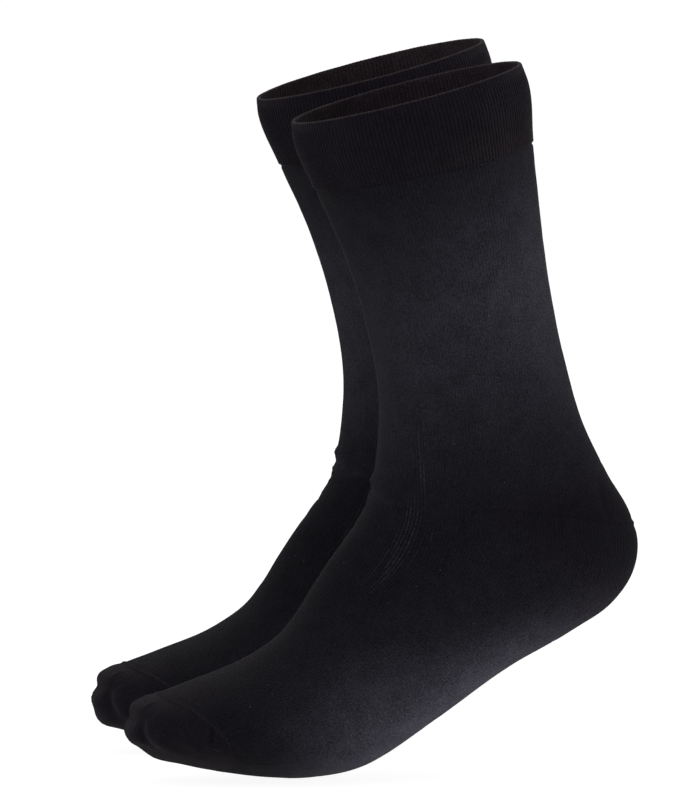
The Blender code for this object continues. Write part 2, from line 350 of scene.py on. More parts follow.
@dataclass(frozen=True)
class PaintedLight:
    """A soft patch of painted light: the cloth's colour made lighter where light falls on it, and in part
    where it is stretched.

    Attributes:
        place: The middle's place.
        u: The middle's share of the way round, on the near side.
        reach: How far it spreads up and down, and round the tube, in millimetres.
        amount: How strong it is in the middle.
        hard: How steeply it ends. 1 is softest.
    """

    place: float
    u: float
    reach: tuple[float, float]
    amount: float
    hard: float = 1.0

    def on(self, form: SockForm, place: np.ndarray, u: np.ndarray) -> np.ndarray:
        """Gives how strong the patch is at each place and u, on both sides of the sock."""
        girth = 300.0
        down = (form.length(place) - form.length(np.array(self.place))) / self.reach[0]
        total = np.zeros(np.broadcast(place, u).shape)
        for middle in (self.u, 1.0 - self.u):
            round_it = ((u - middle + 0.5) % 1.0 - 0.5) * girth / self.reach[1]
            total = np.maximum(total, np.exp(-((down**2 + round_it**2) ** self.hard)))
        return total * self.amount


class Piece:
    """Gathers the vertices, faces and stitch coordinates of one piece of cloth."""

    def __init__(self, name: str) -> None:
        """Starts an empty piece.

        Args:
            name: The piece's name.
        """
        self.name = name
        self.points: list[np.ndarray] = []
        self.values: dict[str, list[np.ndarray]] = {"phase": [], "relief": [], "painted_light": [], "pulled_highlight": []}
        self.out: list[np.ndarray] = []
        self.faces: list[np.ndarray] = []
        self.corners: list[np.ndarray] = []
        self.sharp: list[tuple[int, int]] = []
        self.count = 0

    def add_points(
        self, points: np.ndarray, out: np.ndarray, phase: np.ndarray, relief: np.ndarray,
        painted_light: np.ndarray, pulled_highlight: np.ndarray | float = 0.0,
    ) -> np.ndarray:
        """Adds points.

        Args:
            points: Their places, in millimetres, on the last axis.
            out: The direction out of the cloth's own wall at each.
            phase: How far across its wale each lies, from 0 to 1.
            relief: How strongly the stitches stand out there.
            painted_light: How much painted light lifts the cloth's colour there.
            pulled_highlight: How much painted highlight a pulled wale gives there.

        Returns:
            Their numbers, in the shape of the points.
        """
        shape = points.shape[:-1]
        number = int(np.prod(shape))
        self.points.append(points.reshape(-1, 3))
        self.out.append(out.reshape(-1, 3))
        given = {"phase": phase, "relief": relief, "painted_light": painted_light, "pulled_highlight": pulled_highlight}
        for name, value in given.items():
            self.values[name].append(np.broadcast_to(value, shape).reshape(-1))
        index = np.arange(self.count, self.count + number).reshape(shape)
        self.count += number
        return index

    def add_grid(
        self, index: np.ndarray, wale: np.ndarray, course: np.ndarray, ring: bool, flip: bool,
    ) -> None:
        """Adds the faces of a grid of points.

        Args:
            index: The points' numbers, in rows.
            wale: The wale of each column, with one more where the grid is a ring.
            course: The course of each point.
            ring: Whether each row closes on itself.
            flip: Whether the faces look inwards.
        """
        if ring:
            index = np.concatenate((index, index[:, :1]), axis=1)
            course = np.concatenate((course, course[:, :1]), axis=1)
        wide = np.broadcast_to(wale, index.shape)
        stitch = np.stack((wide, course), axis=-1)
        turn = ((0, 0), (1, 0), (1, 1), (0, 1)) if not flip else ((0, 0), (0, 1), (1, 1), (1, 0))
        rows, columns = index.shape[0] - 1, index.shape[1] - 1
        quads = [index[r:r + rows, c:c + columns].reshape(-1) for r, c in turn]
        corners = [stitch[r:r + rows, c:c + columns].reshape(-1, 2) for r, c in turn]
        self.faces.append(np.stack(quads, axis=1))
        self.corners.append(np.stack(corners, axis=1))

    def add_strip(
        self, fine: np.ndarray, coarse: np.ndarray, fine_stitch: np.ndarray, flip: bool,
    ) -> None:
        """Joins an edge of the outer wall to the same edge of the inner one, which has fewer points.

        Args:
            fine: The outer edge's points, in order.
            coarse: The inner edge's points, evenly spaced among them.
            fine_stitch: The wale and course at each outer point.
            flip: Which way the faces look.
        """
        step = (len(fine) - 1) // (len(coarse) - 1)
        half = step // 2
        triangles, corners = [], []
        for i in range(len(coarse) - 1):
            first = i * step
            for k in range(first, first + step):
                inner = coarse[i] if k < first + half else coarse[i + 1]
                triangles.append((fine[k], fine[k + 1], inner, inner))
                corners.append((fine_stitch[k], fine_stitch[k + 1], fine_stitch[k], fine_stitch[k]))
            middle = first + half
            triangles.append((fine[middle], coarse[i + 1], coarse[i], coarse[i]))
            corners.append((fine_stitch[middle],) * 4)
        faces, stitches = np.array(triangles), np.array(corners, dtype=float)
        if flip:
            faces, stitches = faces[:, (1, 0, 2, 3)], stitches[:, (1, 0, 2, 3)]
        self.faces.append(faces)
        self.corners.append(stitches)
        self.sharp.extend(zip(fine[:-1].tolist(), fine[1:].tolist()))
        self.sharp.extend(zip(coarse[:-1].tolist(), coarse[1:].tolist()))

    def build(self, middle_y: float) -> bpy.types.Object:
        """Makes the object.

        Args:
            middle_y: Where the sock's middle plane lies, in metres.

        Returns:
            The new object, with its place in its mesh.
        """
        points = np.concatenate(self.points) * MM
        points[:, 1] += middle_y
        quads, stitches = np.concatenate(self.faces), np.concatenate(self.corners)
        faces, loops = [], []
        for face, stitch in zip(quads.tolist(), stitches.tolist()):
            kept = [i for i in range(4) if face[i] != face[i - 1]]
            if len(kept) > 2:
                faces.append([face[i] for i in kept])
                loops.extend(stitch[i] for i in kept)
        mesh = bpy.data.meshes.new(self.name)
        mesh.from_pydata(points.tolist(), [], faces)
        mesh.uv_layers.new(name="Knit").data.foreach_set("uv", np.array(loops, np.float32).ravel())
        for name, values in self.values.items():
            mesh.attributes.new(name, "FLOAT", "POINT").data.foreach_set(
                "value", np.concatenate(values).astype(np.float32))
        mesh.attributes.new("out", "FLOAT_VECTOR", "POINT").data.foreach_set(
            "vector", np.concatenate(self.out).astype(np.float32).ravel())
        self._mark_sharp(mesh)
        mesh.shade_smooth()
        piece = bpy.data.objects.new(self.name, mesh)
        bpy.context.scene.collection.objects.link(piece)
        return piece

    def _mark_sharp(self, mesh: bpy.types.Mesh) -> None:
        """Marks the edges where a wall turns into its cut edge, so that neither shades the other."""
        if not self.sharp:
            return
        ends = np.empty(len(mesh.edges) * 2, np.int64)
        mesh.edges.foreach_get("vertices", ends)
        ends = np.sort(ends.reshape(-1, 2), axis=1)
        wanted = np.sort(np.array(self.sharp, np.int64), axis=1)
        keys = ends[:, 0] * self.count + ends[:, 1]
        sharp = np.isin(keys, wanted[:, 0] * self.count + wanted[:, 1])
        mesh.attributes.new("sharp_edge", "BOOLEAN", "EDGE").data.foreach_set("value", sharp)


def graded_shares(length: float, first: float, full: float, grow: float = 1.4) -> np.ndarray:
    """Gives shares from 0 to 1 whose steps are short at both ends and grow inwards.

    Args:
        length: The length that the steps cover.
        first: The first and the last step.
        full: The steps in the middle.
        grow: How much longer each step is than the one before.

    Returns:
        The shares.
    """
    steps = []
    step = first
    while step < full:
        steps.append(step)
        step *= grow
    rest = max(2, round((length - 2 * sum(steps)) / full))
    every = np.array(steps + [full] * rest + steps[::-1])
    return np.concatenate(((0.0,), np.cumsum(every))) / every.sum()


def run_along(points: np.ndarray) -> np.ndarray:
    """Gives the length from the first row to each point, along its column."""
    steps = np.linalg.norm(np.diff(points, axis=0), axis=-1)
    return np.concatenate((np.zeros((1, points.shape[1])), np.cumsum(steps, axis=0)))


# ---------------------------------------------------------------- node trees
class Tree:
    """Adds nodes to a node tree and joins them."""

    def __init__(self, tree: bpy.types.NodeTree) -> None:
        """Takes the tree to add to.

        Args:
            tree: A shader tree or a geometry tree.
        """
        self.tree = tree

    def add(self, kind: str, settings: dict | None = None, **values: object) -> bpy.types.Node:
        """Adds a node.

        Args:
            kind: The node's type.
            settings: The node's own properties.
            **values: Its inputs by position, as i0, i1 and so on: each a value, or a socket to join.

        Returns:
            The node.
        """
        node = self.tree.nodes.new(kind)
        for name, value in (settings or {}).items():
            setattr(node, name, value)
        for name, value in values.items():
            self.put(node.inputs[int(name[1:])], value)
        return node

    def put(self, socket: bpy.types.NodeSocket, value: object) -> None:
        """Joins a socket to another, or gives it a value."""
        if isinstance(value, bpy.types.NodeSocket):
            self.tree.links.new(value, socket)
        else:
            socket.default_value = value

    def maths(self, operation: str, *values: object) -> bpy.types.NodeSocket:
        """Adds a maths node and gives its output."""
        sockets = {f"i{i}": value for i, value in enumerate(values)}
        return self.add("ShaderNodeMath", {"operation": operation}, **sockets).outputs[0]

    def scaled(self, vector: object, factor: object) -> bpy.types.NodeSocket:
        """Multiplies a vector by a number and gives the result."""
        return self.add("ShaderNodeVectorMath", {"operation": "SCALE"}, i0=vector, i3=factor).outputs[0]

    def ramp(self, value: object, low: float, high: float, to_low: float, to_high: float,
             ) -> bpy.types.NodeSocket:
        """Maps a value from one range to another, smoothly and without running past it."""
        node = self.add("ShaderNodeMapRange", {"interpolation_type": "SMOOTHSTEP"},
                        i0=value, i1=low, i2=high, i3=to_low, i4=to_high)
        return node.outputs[0]

    def blend(self, share: object, first: object, second: object) -> bpy.types.NodeSocket:
        """Mixes two colours and gives the result."""
        node = self.add("ShaderNodeMix", {"data_type": "RGBA"}, i0=share, i6=first, i7=second)
        return node.outputs[2]


Sockets = bpy.types.bpy_prop_collection


def new_tree(name: str, kind: str, inputs: tuple[tuple[str, str, object], ...],
             outputs: tuple[tuple[str, str], ...]) -> tuple[Tree, Sockets]:
    """Makes a node tree with named inputs and outputs.

    Args:
        name: The tree's name.
        kind: The tree's type.
        inputs: The name, socket type and default of each input.
        outputs: The name and socket type of each output.

    Returns:
        What adds nodes to it, and the sockets that give its inputs.
    """
    tree = bpy.data.node_groups.new(name, kind)
    for label, socket_kind, default in inputs:
        socket = tree.interface.new_socket(name=label, in_out="INPUT", socket_type=socket_kind)
        if default is not None:
            socket.default_value = default
    for label, socket_kind in outputs:
        tree.interface.new_socket(name=label, in_out="OUTPUT", socket_type=socket_kind)
    t = Tree(tree)
    return t, t.add("NodeGroupInput").outputs


class GeometryTool:
    """A geometry tree that is run on a piece and dresses what it makes in a material."""

    def __init__(self, name: str, *inputs: tuple[str, str, object]) -> None:
        """Starts the tree.

        Args:
            name: The tree's name.
            *inputs: The name, socket type and default of each input of its own.
        """
        self.t, self.inside = new_tree(
            name, "GeometryNodeTree",
            (("Geometry", "NodeSocketGeometry", None), *inputs, ("Material", "NodeSocketMaterial", None)),
            (("Geometry", "NodeSocketGeometry"),),
        )

    def named(self, name: str, kind: str = "FLOAT") -> bpy.types.NodeSocket:
        """Adds a node that reads one of the piece's attributes, and gives its value."""
        return self.t.add("GeometryNodeInputNamedAttribute", {"data_type": kind}, i0=name).outputs[0]

    def random(self, kind: str, low: object, high: object) -> bpy.types.NodeSocket:
        """Adds a node that varies from thing to thing, and gives its value."""
        node = self.t.add("FunctionNodeRandomValue", {"data_type": kind})
        first = 0 if kind == "FLOAT_VECTOR" else 2
        self.t.put(node.inputs[first], low)
        self.t.put(node.inputs[first + 1], high)
        self.t.put(node.inputs["Seed"], self.inside["Seed"])
        return node.outputs[first // 2]

    def instances(self, points: bpy.types.NodeSocket, thing: bpy.types.NodeSocket,
                  rotation: bpy.types.NodeSocket, turn: bpy.types.NodeSocket,
                  scale: bpy.types.NodeSocket) -> bpy.types.NodeSocket:
        """Puts a thing on each point.

        Args:
            points: The points.
            thing: The thing's mesh.
            rotation: Which way it faces at each point.
            turn: How it is turned from there.
            scale: Its size along each of its own axes.

        Returns:
            The instances.
        """
        turned = self.t.add("FunctionNodeRotateRotation", {"rotation_space": "LOCAL"},
                            i0=rotation, i1=turn)
        placed = self.t.add("GeometryNodeInstanceOnPoints", i0=points)
        for name, value in (("Instance", thing), ("Rotation", turned.outputs[0]), ("Scale", scale)):
            self.t.put(placed.inputs[name], value)
        return placed.outputs[0]

    def close(self, geometry: bpy.types.NodeSocket, smooth: bool = True) -> None:
        """Ends the tree with real meshes dressed in the material."""
        real = self.t.add("GeometryNodeRealizeInstances", i0=geometry)
        last = self.t.add("GeometryNodeSetMaterial", i0=real.outputs[0], i2=self.inside["Material"])
        if smooth:
            last = self.t.add("GeometryNodeSetShadeSmooth", i0=last.outputs[0])
        self.t.add("NodeGroupOutput", i0=last.outputs[0])

    def run(self, piece: bpy.types.Object, values: dict[str, object]) -> bpy.types.Object:
        """Runs the tree on a piece and keeps the result as its plain mesh.

        Args:
            piece: The piece.
            values: The tree's inputs by name.

        Returns:
            The piece.
        """
        tree = self.t.tree
        modifier = piece.modifiers.new(tree.name, "NODES")
        modifier.node_group = tree
        sockets = {s.name: s.identifier for s in tree.interface.items_tree if s.in_out == "INPUT"}
        for name, value in values.items():
            modifier[sockets[name]] = value
        graph = bpy.context.evaluated_depsgraph_get()
        mesh = bpy.data.meshes.new_from_object(
            piece.evaluated_get(graph), preserve_all_data_layers=True, depsgraph=graph)
        mesh.name = piece.name
        piece.modifiers.remove(modifier)
        piece.data = mesh
        return piece


class StitchRelief(GeometryTool):
    """Raises the wales of a piece of knitting, each a rounded column between two narrow grooves."""

    def __init__(self) -> None:
        """Builds the geometry tree."""
        super().__init__(
            "stitch_relief", ("Height", "NodeSocketFloat", 0.0003), ("Groove", "NodeSocketFloat", 0.6),
            ("Unevenness", "NodeSocketFloat", 0.0001), ("Seed", "NodeSocketFloat", 0.0),
        )
        t, inside = self.t, self.inside
        column = t.maths("SINE", t.maths("MULTIPLY", self.named("phase"), math.pi))
        raised = t.maths("MULTIPLY", t.maths("SUBTRACT", column, inside["Groove"]), inside["Height"])
        position = t.add("GeometryNodeInputPosition").outputs[0]
        noise = t.add("ShaderNodeTexNoise", {"noise_dimensions": "4D"},
                      i0=position, i1=inside["Seed"], i2=60.0, i3=2.0)
        uneven = t.maths("MULTIPLY", t.maths("SUBTRACT", noise.outputs[0], 0.5), inside["Unevenness"])
        lift = t.maths("ADD", t.maths("MULTIPLY", raised, self.named("relief")), uneven)
        offset = t.scaled(self.named("out", "FLOAT_VECTOR"), lift)
        moved = t.add("GeometryNodeSetPosition", i0=inside["Geometry"], i3=offset)
        self.close(moved.outputs[0], smooth=False)

    def on(self, piece: bpy.types.Object, height: float, material: bpy.types.Material,
           seed: float) -> None:
        """Raises the wales of a piece.

        Args:
            piece: The piece, which has the attributes phase, relief and out.
            height: How far a wale stands above its grooves, in millimetres.
            material: What the piece is dressed in.
            seed: Sets the cloth's unevenness.
        """
        self.run(piece, {
            "Height": height * MM, "Groove": GROOVE_SHARE, "Seed": seed, "Material": material,
            "Unevenness": UNEVENNESS * MM,
        })


# ---------------------------------------------------------------- finishes
# The scale, detail and roughness of each noise: single fibres, cloudy patches, and the yarn's grain.
FIBRE_NOISE = (1900.0, 3.0, 0.7)
CLOUD_NOISE = (95.0, 3.0, 0.6)
GRAIN_NOISE = (1250.0, 2.0, 0.6)


def stitch_group() -> bpy.types.NodeTree:
    """Builds the shader group that draws the loops of plain knitting.

    Returns:
        The group, which takes wale and course as a vector and gives a height, a yarn mask and a mask
        of the loops' crests.
    """
    t, inside = new_tree(
        "plain_stitches", "ShaderNodeTree",
        (("Stitch", "NodeSocketVector", None), ("Slant", "NodeSocketFloat", 0.55)),
        (("Height", "NodeSocketFloat"), ("Yarn", "NodeSocketFloat"), ("Crest", "NodeSocketFloat")),
    )
    wale, course, _ = t.add("ShaderNodeSeparateXYZ", i0=inside["Stitch"]).outputs
    middle = t.maths("ABSOLUTE", t.maths("SUBTRACT", t.maths("MULTIPLY", t.maths("FRACT", wale), 2.0), 1.0))
    legs = t.maths("POWER", t.maths(
        "ABSOLUTE", t.maths("SUBTRACT", t.maths("MULTIPLY", middle, 2.0), 1.0)), 2.0)
    column = t.ramp(middle, 0.55, 1.0, 1.0, 0.0)
    leg = t.maths("MULTIPLY", column, t.maths("SUBTRACT", 1.0, t.maths("MULTIPLY", legs, 0.45)))
    slanted = t.maths("ADD", course, t.maths("MULTIPLY", middle, inside["Slant"]))
    loop = t.maths("ABSOLUTE", t.maths("SINE", t.maths("MULTIPLY", slanted, math.pi)))
    height = t.maths("MULTIPLY", leg, t.maths("ADD", t.maths("MULTIPLY", loop, 0.45), 0.55))
    yarn = t.ramp(height, 0.12, 0.7, 0.0, 1.0)
    crest = t.maths("MULTIPLY", t.ramp(middle, 0.15, 0.55, 1.0, 0.0), t.maths("ADD", loop, 0.25))
    t.add("NodeGroupOutput", i0=height, i1=yarn, i2=crest)
    return t.tree


def nap_group() -> bpy.types.NodeTree:
    """Builds the shader group for the fine fibres and flecks of cotton.

    Returns:
        The group, which takes a position and gives a fibre height, an uneven mask and a fleck mask.
    """
    t, inside = new_tree(
        "cotton_nap", "ShaderNodeTree", (("Position", "NodeSocketVector", None),),
        (("Height", "NodeSocketFloat"), ("Uneven", "NodeSocketFloat"), ("Fleck", "NodeSocketFloat")),
    )
    fibre, cloud, grain = (
        t.add("ShaderNodeTexNoise", i0=inside["Position"], i2=scale, i3=detail, i4=rough)
        for scale, detail, rough in (FIBRE_NOISE, CLOUD_NOISE, GRAIN_NOISE)
    )
    uneven = t.maths("ADD", t.maths("MULTIPLY", cloud.outputs[0], 0.25),
                     t.maths("MULTIPLY", grain.outputs[0], 0.75))
    fleck = t.ramp(fibre.outputs[0], 0.70, 0.80, 0.0, 1.0)
    t.add("NodeGroupOutput", i0=fibre.outputs[0], i1=uneven, i2=fleck)
    return t.tree


def new_material(name: str, colour: tuple[float, float, float],
                 ) -> tuple[bpy.types.Material, Tree, bpy.types.NodeInputs]:
    """Makes a material.

    Args:
        name: Its name.
        colour: The colour that stands for it in a plain view, linear.

    Returns:
        The material, what adds its nodes, and the inputs of its shader.
    """
    material = bpy.data.materials.new(name)
    material.use_nodes = True
    material.diffuse_color = (*colour, 1.0)
    tree = material.node_tree
    return material, Tree(tree), tree.nodes["Principled BSDF"].inputs


@dataclass(frozen=True)
class KnitFinish:
    """A finish of black knitted cotton.

    Attributes:
        name: The material's name.
        yarn: The yarn's colour, linear.
        groove: How dark it is between the stitches, as a share of the yarn's colour: painted shade in the
            gaps between the loops.
        painted_light: The colour that painted light lifts the cloth to, where light falls on it and in part
            where it is stretched.
        rough: The roughness on top of the stitches.
        sheen: How much light the nap catches at its edges.
        tint: The colour of that light.
        stitch_bump: How deep the loops look, in millimetres.
        nap_bump: How deep the fibres look, in millimetres.
    """

    name: str
    yarn: tuple[float, float, float]
    groove: float
    painted_light: tuple[float, float, float]
    rough: float = 0.82
    sheen: float = 0.12
    tint: tuple[float, float, float] = (0.95, 0.86, 0.90)
    stitch_bump: float = 0.20
    nap_bump: float = 0.14

    def material(self, stitches: bpy.types.NodeTree, nap: bpy.types.NodeTree) -> bpy.types.Material:
        """Makes the material.

        Args:
            stitches: The group that draws the loops.
            nap: The group for fibres and flecks.

        Returns:
            The material.
        """
        material, t, shader = new_material(self.name, self.yarn)
        stitch_at = t.add("ShaderNodeUVMap", {"uv_map": "Knit"}).outputs[0]
        position = t.add("ShaderNodeTexCoord").outputs["Object"]
        light = t.add("ShaderNodeAttribute", {"attribute_name": "painted_light"}).outputs["Fac"]
        pulled_highlight = t.add("ShaderNodeAttribute", {"attribute_name": "pulled_highlight"}).outputs["Fac"]
        loops = t.add("ShaderNodeGroup", {"node_tree": stitches}, i0=stitch_at)
        fibres = t.add("ShaderNodeGroup", {"node_tree": nap}, i0=position)

        broken = t.ramp(fibres.outputs["Uneven"], 0.40, 0.60, 0.35, 1.3)
        pulled_wale_highlight = t.maths("MULTIPLY", t.maths("MULTIPLY", pulled_highlight, broken), loops.outputs["Crest"])
        # Painted light: the pulled wales' painted highlight and the painted_light patches lift the yarn's
        # colour towards its painted light colour.
        lit_share = t.maths("ADD", pulled_wale_highlight, t.maths(
            "MULTIPLY", light, t.ramp(fibres.outputs["Uneven"], 0.3, 0.7, 0.9, 1.1)))
        top = t.blend(lit_share, (*self.yarn, 1.0), (*self.painted_light, 1.0))
        # Painted shade darkens the gaps between the loops.
        shade = t.ramp(loops.outputs["Yarn"], 0.0, 1.0, self.groove, 1.0)
        uneven = t.ramp(fibres.outputs["Uneven"], 0.3, 0.7, 0.58, 1.42)
        varied = t.scaled(top, t.maths("MULTIPLY", shade, uneven))
        fleck = tuple(c * 5.0 for c in self.yarn)
        colour = t.blend(t.maths("MULTIPLY", fibres.outputs["Fleck"], 0.5), varied, (*fleck, 1.0))
        t.put(shader["Base Color"], colour)
        t.put(shader["Roughness"],
              t.ramp(loops.outputs["Yarn"], 0.0, 1.0, min(1.0, self.rough + 0.12), self.rough))
        fine = t.add("ShaderNodeBump", i0=1.0, i1=self.nap_bump * MM)
        t.put(fine.inputs["Height"], fibres.outputs["Height"])
        deep = t.add("ShaderNodeBump", i0=1.0, i1=self.stitch_bump * MM)
        t.put(deep.inputs["Height"], loops.outputs["Height"])
        t.put(deep.inputs["Normal"], fine.outputs[0])
        t.put(shader["Normal"], deep.outputs[0])
        shader["Specular IOR Level"].default_value = 0.04
        shader["Sheen Weight"].default_value = self.sheen
        shader["Sheen Roughness"].default_value = 0.3
        shader["Sheen Tint"].default_value = (*self.tint, 1.0)
        return material


# Colours of painted light: bluish grey on the body, reddish on the cuff, whose fold at the rim and inner
# wall also carry painted light.
PAINTED_LIGHT_COLOUR = (0.075, 0.0715, 0.0920)
RIB = KnitFinish(
    "black_rib_knit", yarn=(0.0078, 0.0064, 0.0097), groove=0.74,
    painted_light=(0.078, 0.058, 0.064), sheen=0.08,
)
PLAIN = KnitFinish(
    "black_plain_knit", yarn=(0.0073, 0.0067, 0.0095), groove=0.86, painted_light=PAINTED_LIGHT_COLOUR, sheen=0.06,
)
HEEL = KnitFinish(
    "black_heel_knit", yarn=(0.0056, 0.0047, 0.0068), groove=0.93, painted_light=PAINTED_LIGHT_COLOUR, sheen=0.06,
)
TOE = KnitFinish(
    "black_toe_knit", yarn=(0.0090, 0.0075, 0.0106), groove=0.97, painted_light=PAINTED_LIGHT_COLOUR, sheen=0.06,
)


def plain_material(name: str, colour: tuple[float, float, float], rough: float,
                   spread: float) -> bpy.types.Material:
    """Makes a material whose colour varies from one spot to the next.

    Args:
        name: The material's name.
        colour: Its colour, linear.
        rough: Its roughness.
        spread: How much darker and lighter its spots are, as a share of the colour.

    Returns:
        The material.
    """
    material, t, shader = new_material(name, colour)
    position = t.add("ShaderNodeTexCoord").outputs["Object"]
    noise = t.add("ShaderNodeTexNoise", i0=position, i2=420.0, i3=2.0)
    share = t.ramp(noise.outputs[0], 0.3, 0.7, 0.0, 1.0)
    dark = tuple(c * (1.0 - spread) for c in colour)
    pale = tuple(min(1.0, c * (1.0 + spread)) for c in colour)
    t.put(shader["Base Color"], t.blend(share, (*dark, 1.0), (*pale, 1.0)))
    shader["Roughness"].default_value = rough
    shader["Specular IOR Level"].default_value = 0.2
    return material


# ---------------------------------------------------------------- marks, listed one by one
ANKLE_CREASES = (
    Crease(((6.89, -0.03), (6.97, 0.03), (7.11, 0.075)), rise=1.0, half_width=3.3, fade=0.3),
    Crease(((7.08, -0.02), (7.24, 0.016), (7.42, 0.060), (7.62, 0.094)), rise=-1.0, half_width=2.5),
    Crease(((7.26, 0.000), (7.44, 0.028), (7.66, 0.078), (7.80, 0.100)), rise=0.90, half_width=2.0),
    Crease(((7.55, -0.02), (7.78, 0.045), (8.30, 0.095)), rise=-0.75, half_width=2.2),
    Crease(((8.15, -0.02), (8.50, 0.040), (9.05, 0.080)), rise=0.45, half_width=3.0),
    Crease(((8.70, -0.02), (9.10, 0.035), (9.60, 0.070)), rise=-0.45, half_width=2.8),
    Crease(((9.90, -0.02), (10.4, 0.030), (11.0, 0.060)), rise=-0.30, half_width=3.4),
)
HEEL_CREASES = (
    Crease(((7.05, 0.455), (7.35, 0.43), (7.75, 0.42), (8.3, 0.425)), rise=-0.3, half_width=3.0),
    Crease(((6.9, 0.40), (7.2, 0.33), (7.45, 0.26), (7.5, 0.22)), rise=-0.35, half_width=4.5, fade=0.5),
)
TOE_CREASES = (
    Crease(((17.48, 0.212), (17.60, 0.236), (17.74, 0.256), (17.86, 0.260)), rise=-1.3, half_width=1.7,
           fade=0.25),
    Crease(((17.50, 0.264), (17.75, 0.274), (17.95, 0.270)), rise=0.8, half_width=1.8, fade=0.5),
    Crease(((17.92, 0.250), (18.25, 0.299), (18.45, 0.330)), rise=-0.55, half_width=1.9),
    Crease(((17.70, 0.300), (17.90, 0.321), (18.02, 0.350)), rise=-0.45, half_width=1.9),
    Crease(((17.45, 0.280), (17.25, 0.310), (17.15, 0.345)), rise=-0.30, half_width=2.4),
    Crease(((18.60, 0.215), (19.40, 0.235), (20.20, 0.262)), rise=-0.50, half_width=2.2),
    Crease(((18.30, 0.075), (18.90, 0.100), (19.60, 0.125)), rise=0.45, half_width=2.4),
    Crease(((18.75, 0.150), (19.30, 0.170), (19.90, 0.165)), rise=-0.40, half_width=2.0),
)
# Painted light: the first three patches are a painted highlight along the lit ridge of an ankle crease; the
# rest are painted light where the lamps and the floor light the leg, the ball and the sole.
PAINTED_LIGHTS = (
    PaintedLight(place_of("heel_top", 0.30), 0.020, (1.8, 7.0), 0.07),
    PaintedLight(place_of("heel_top", 0.42), 0.040, (1.8, 7.0), 0.09),
    PaintedLight(place_of("heel_top", 0.56), 0.065, (1.8, 7.0), 0.07),
    PaintedLight(place_of("shin", 0.05), 0.34, (50.0, 82.0), 0.25),
    PaintedLight(place_of("shin", -0.1), 0.45, (58.0, 46.0), 0.19),
    PaintedLight(place_of("shin", 0.5), 0.06, (46.0, 50.0), 0.08),
    PaintedLight(place_of("ankle", 0.9), 0.12, (30.0, 60.0), 0.04),
    PaintedLight(place_of("waist", 0.1), 0.450, (58.0, 32.0), 1.00, 1.5),
    PaintedLight(place_of("ball", -0.35), 0.378, (34.0, 44.0), 0.47, 1.2),
    PaintedLight(place_of("waist", -0.6), 0.34, (62.0, 42.0), 0.09),
    PaintedLight(place_of("ball", 0.0), 0.14, (46.0, 60.0), 0.01),
)


class PulledWale(NamedTuple):
    """A wale that is pulled taut, so that its stitches catch the light, painted as a highlight in its
    colour.
    """

    wale: int
    start: float
    end: float
    amount: float


PULLED_WALES = (
    PulledWale(22, 5.2, 7.5, 0.21),
    PulledWale(23, 5.9, 7.9, 0.16),
    PulledWale(24, 4.6, 6.8, 0.08),
    PulledWale(18, 7.2, 10.6, 0.13),
    PulledWale(19, 7.2, 11.6, 0.18),
    PulledWale(20, 7.0, 12.6, 0.14),
    PulledWale(21, 7.3, 12.9, 0.20),
    PulledWale(22, 7.6, 12.2, 0.11),
    PulledWale(17, 8.4, 12.8, 0.08),
    PulledWale(24, 8.6, 11.4, 0.09),
    PulledWale(26, 8.0, 10.4, 0.06),
)


def pulled(place: np.ndarray, u: np.ndarray) -> np.ndarray:
    """Gives how much the pulled wales' painted highlight lightens each place and u."""
    total = np.zeros(np.broadcast(place, u).shape)
    for wale in PULLED_WALES:
        for middle in (wale.wale + 0.5, WALES - wale.wale - 0.5):
            near = np.clip(1.5 - 2.0 * np.abs(u * WALES - middle), 0.0, 1.0)
            ends = soft_step((place - wale.start) / 0.8) * soft_step((wale.end - place) / 1.2)
            total = np.maximum(total, near * ends * wale.amount)
    return total


@dataclass
class Sock:
    """One sock: its cloth, its linking stitches, and the fibres and lint on it.

    Attributes:
        name: The sock's name, with which its solids' names begin.
        form: The shape it is built on.
        seed: Sets what varies from this sock to the other.
        painted_light_strength: How strong its patches of painted light are, beside those of the near sock.
    """

    name: str
    form: SockForm
    seed: int
    painted_light_strength: float
    middle_y: float = field(init=False)

    def __post_init__(self) -> None:
        """Takes the sock's middle plane from its packed cuff."""
        low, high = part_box(f"{self.name}_cuff")
        self.middle_y = (low.y + high.y) / 2

    @property
    def is_near(self) -> bool:
        """Tells the near sock from the far one."""
        return self.middle_y < 0.0

    def creased(self, place: np.ndarray, u: np.ndarray, creases: tuple[Crease, ...],
                ) -> tuple[np.ndarray, np.ndarray]:
        """Gives points on the sock with its creases laid in, and the directions out of the cloth.

        Args:
            place: Places along the tube.
            u: Shares of the way round.
            creases: The creases.

        Returns:
            The points and the directions, each with x, y and z on the last axis.
        """
        points, out = self.form.points(place, u), self.form.normals(place, u)
        moved = sum((crease.on(self.form, points) for crease in creases), np.zeros(points.shape[:-1]))
        return points + out * moved[..., None], out

    def painted_light_at(self, place: np.ndarray, u: np.ndarray) -> np.ndarray:
        """Gives how strongly painted light lifts the cloth's colour at each place and u."""
        patches = np.array([painted_light.on(self.form, place, u) for painted_light in PAINTED_LIGHTS]) * self.painted_light_strength
        return 1.0 - np.prod(1.0 - np.clip(patches, 0.0, 1.0), axis=0)


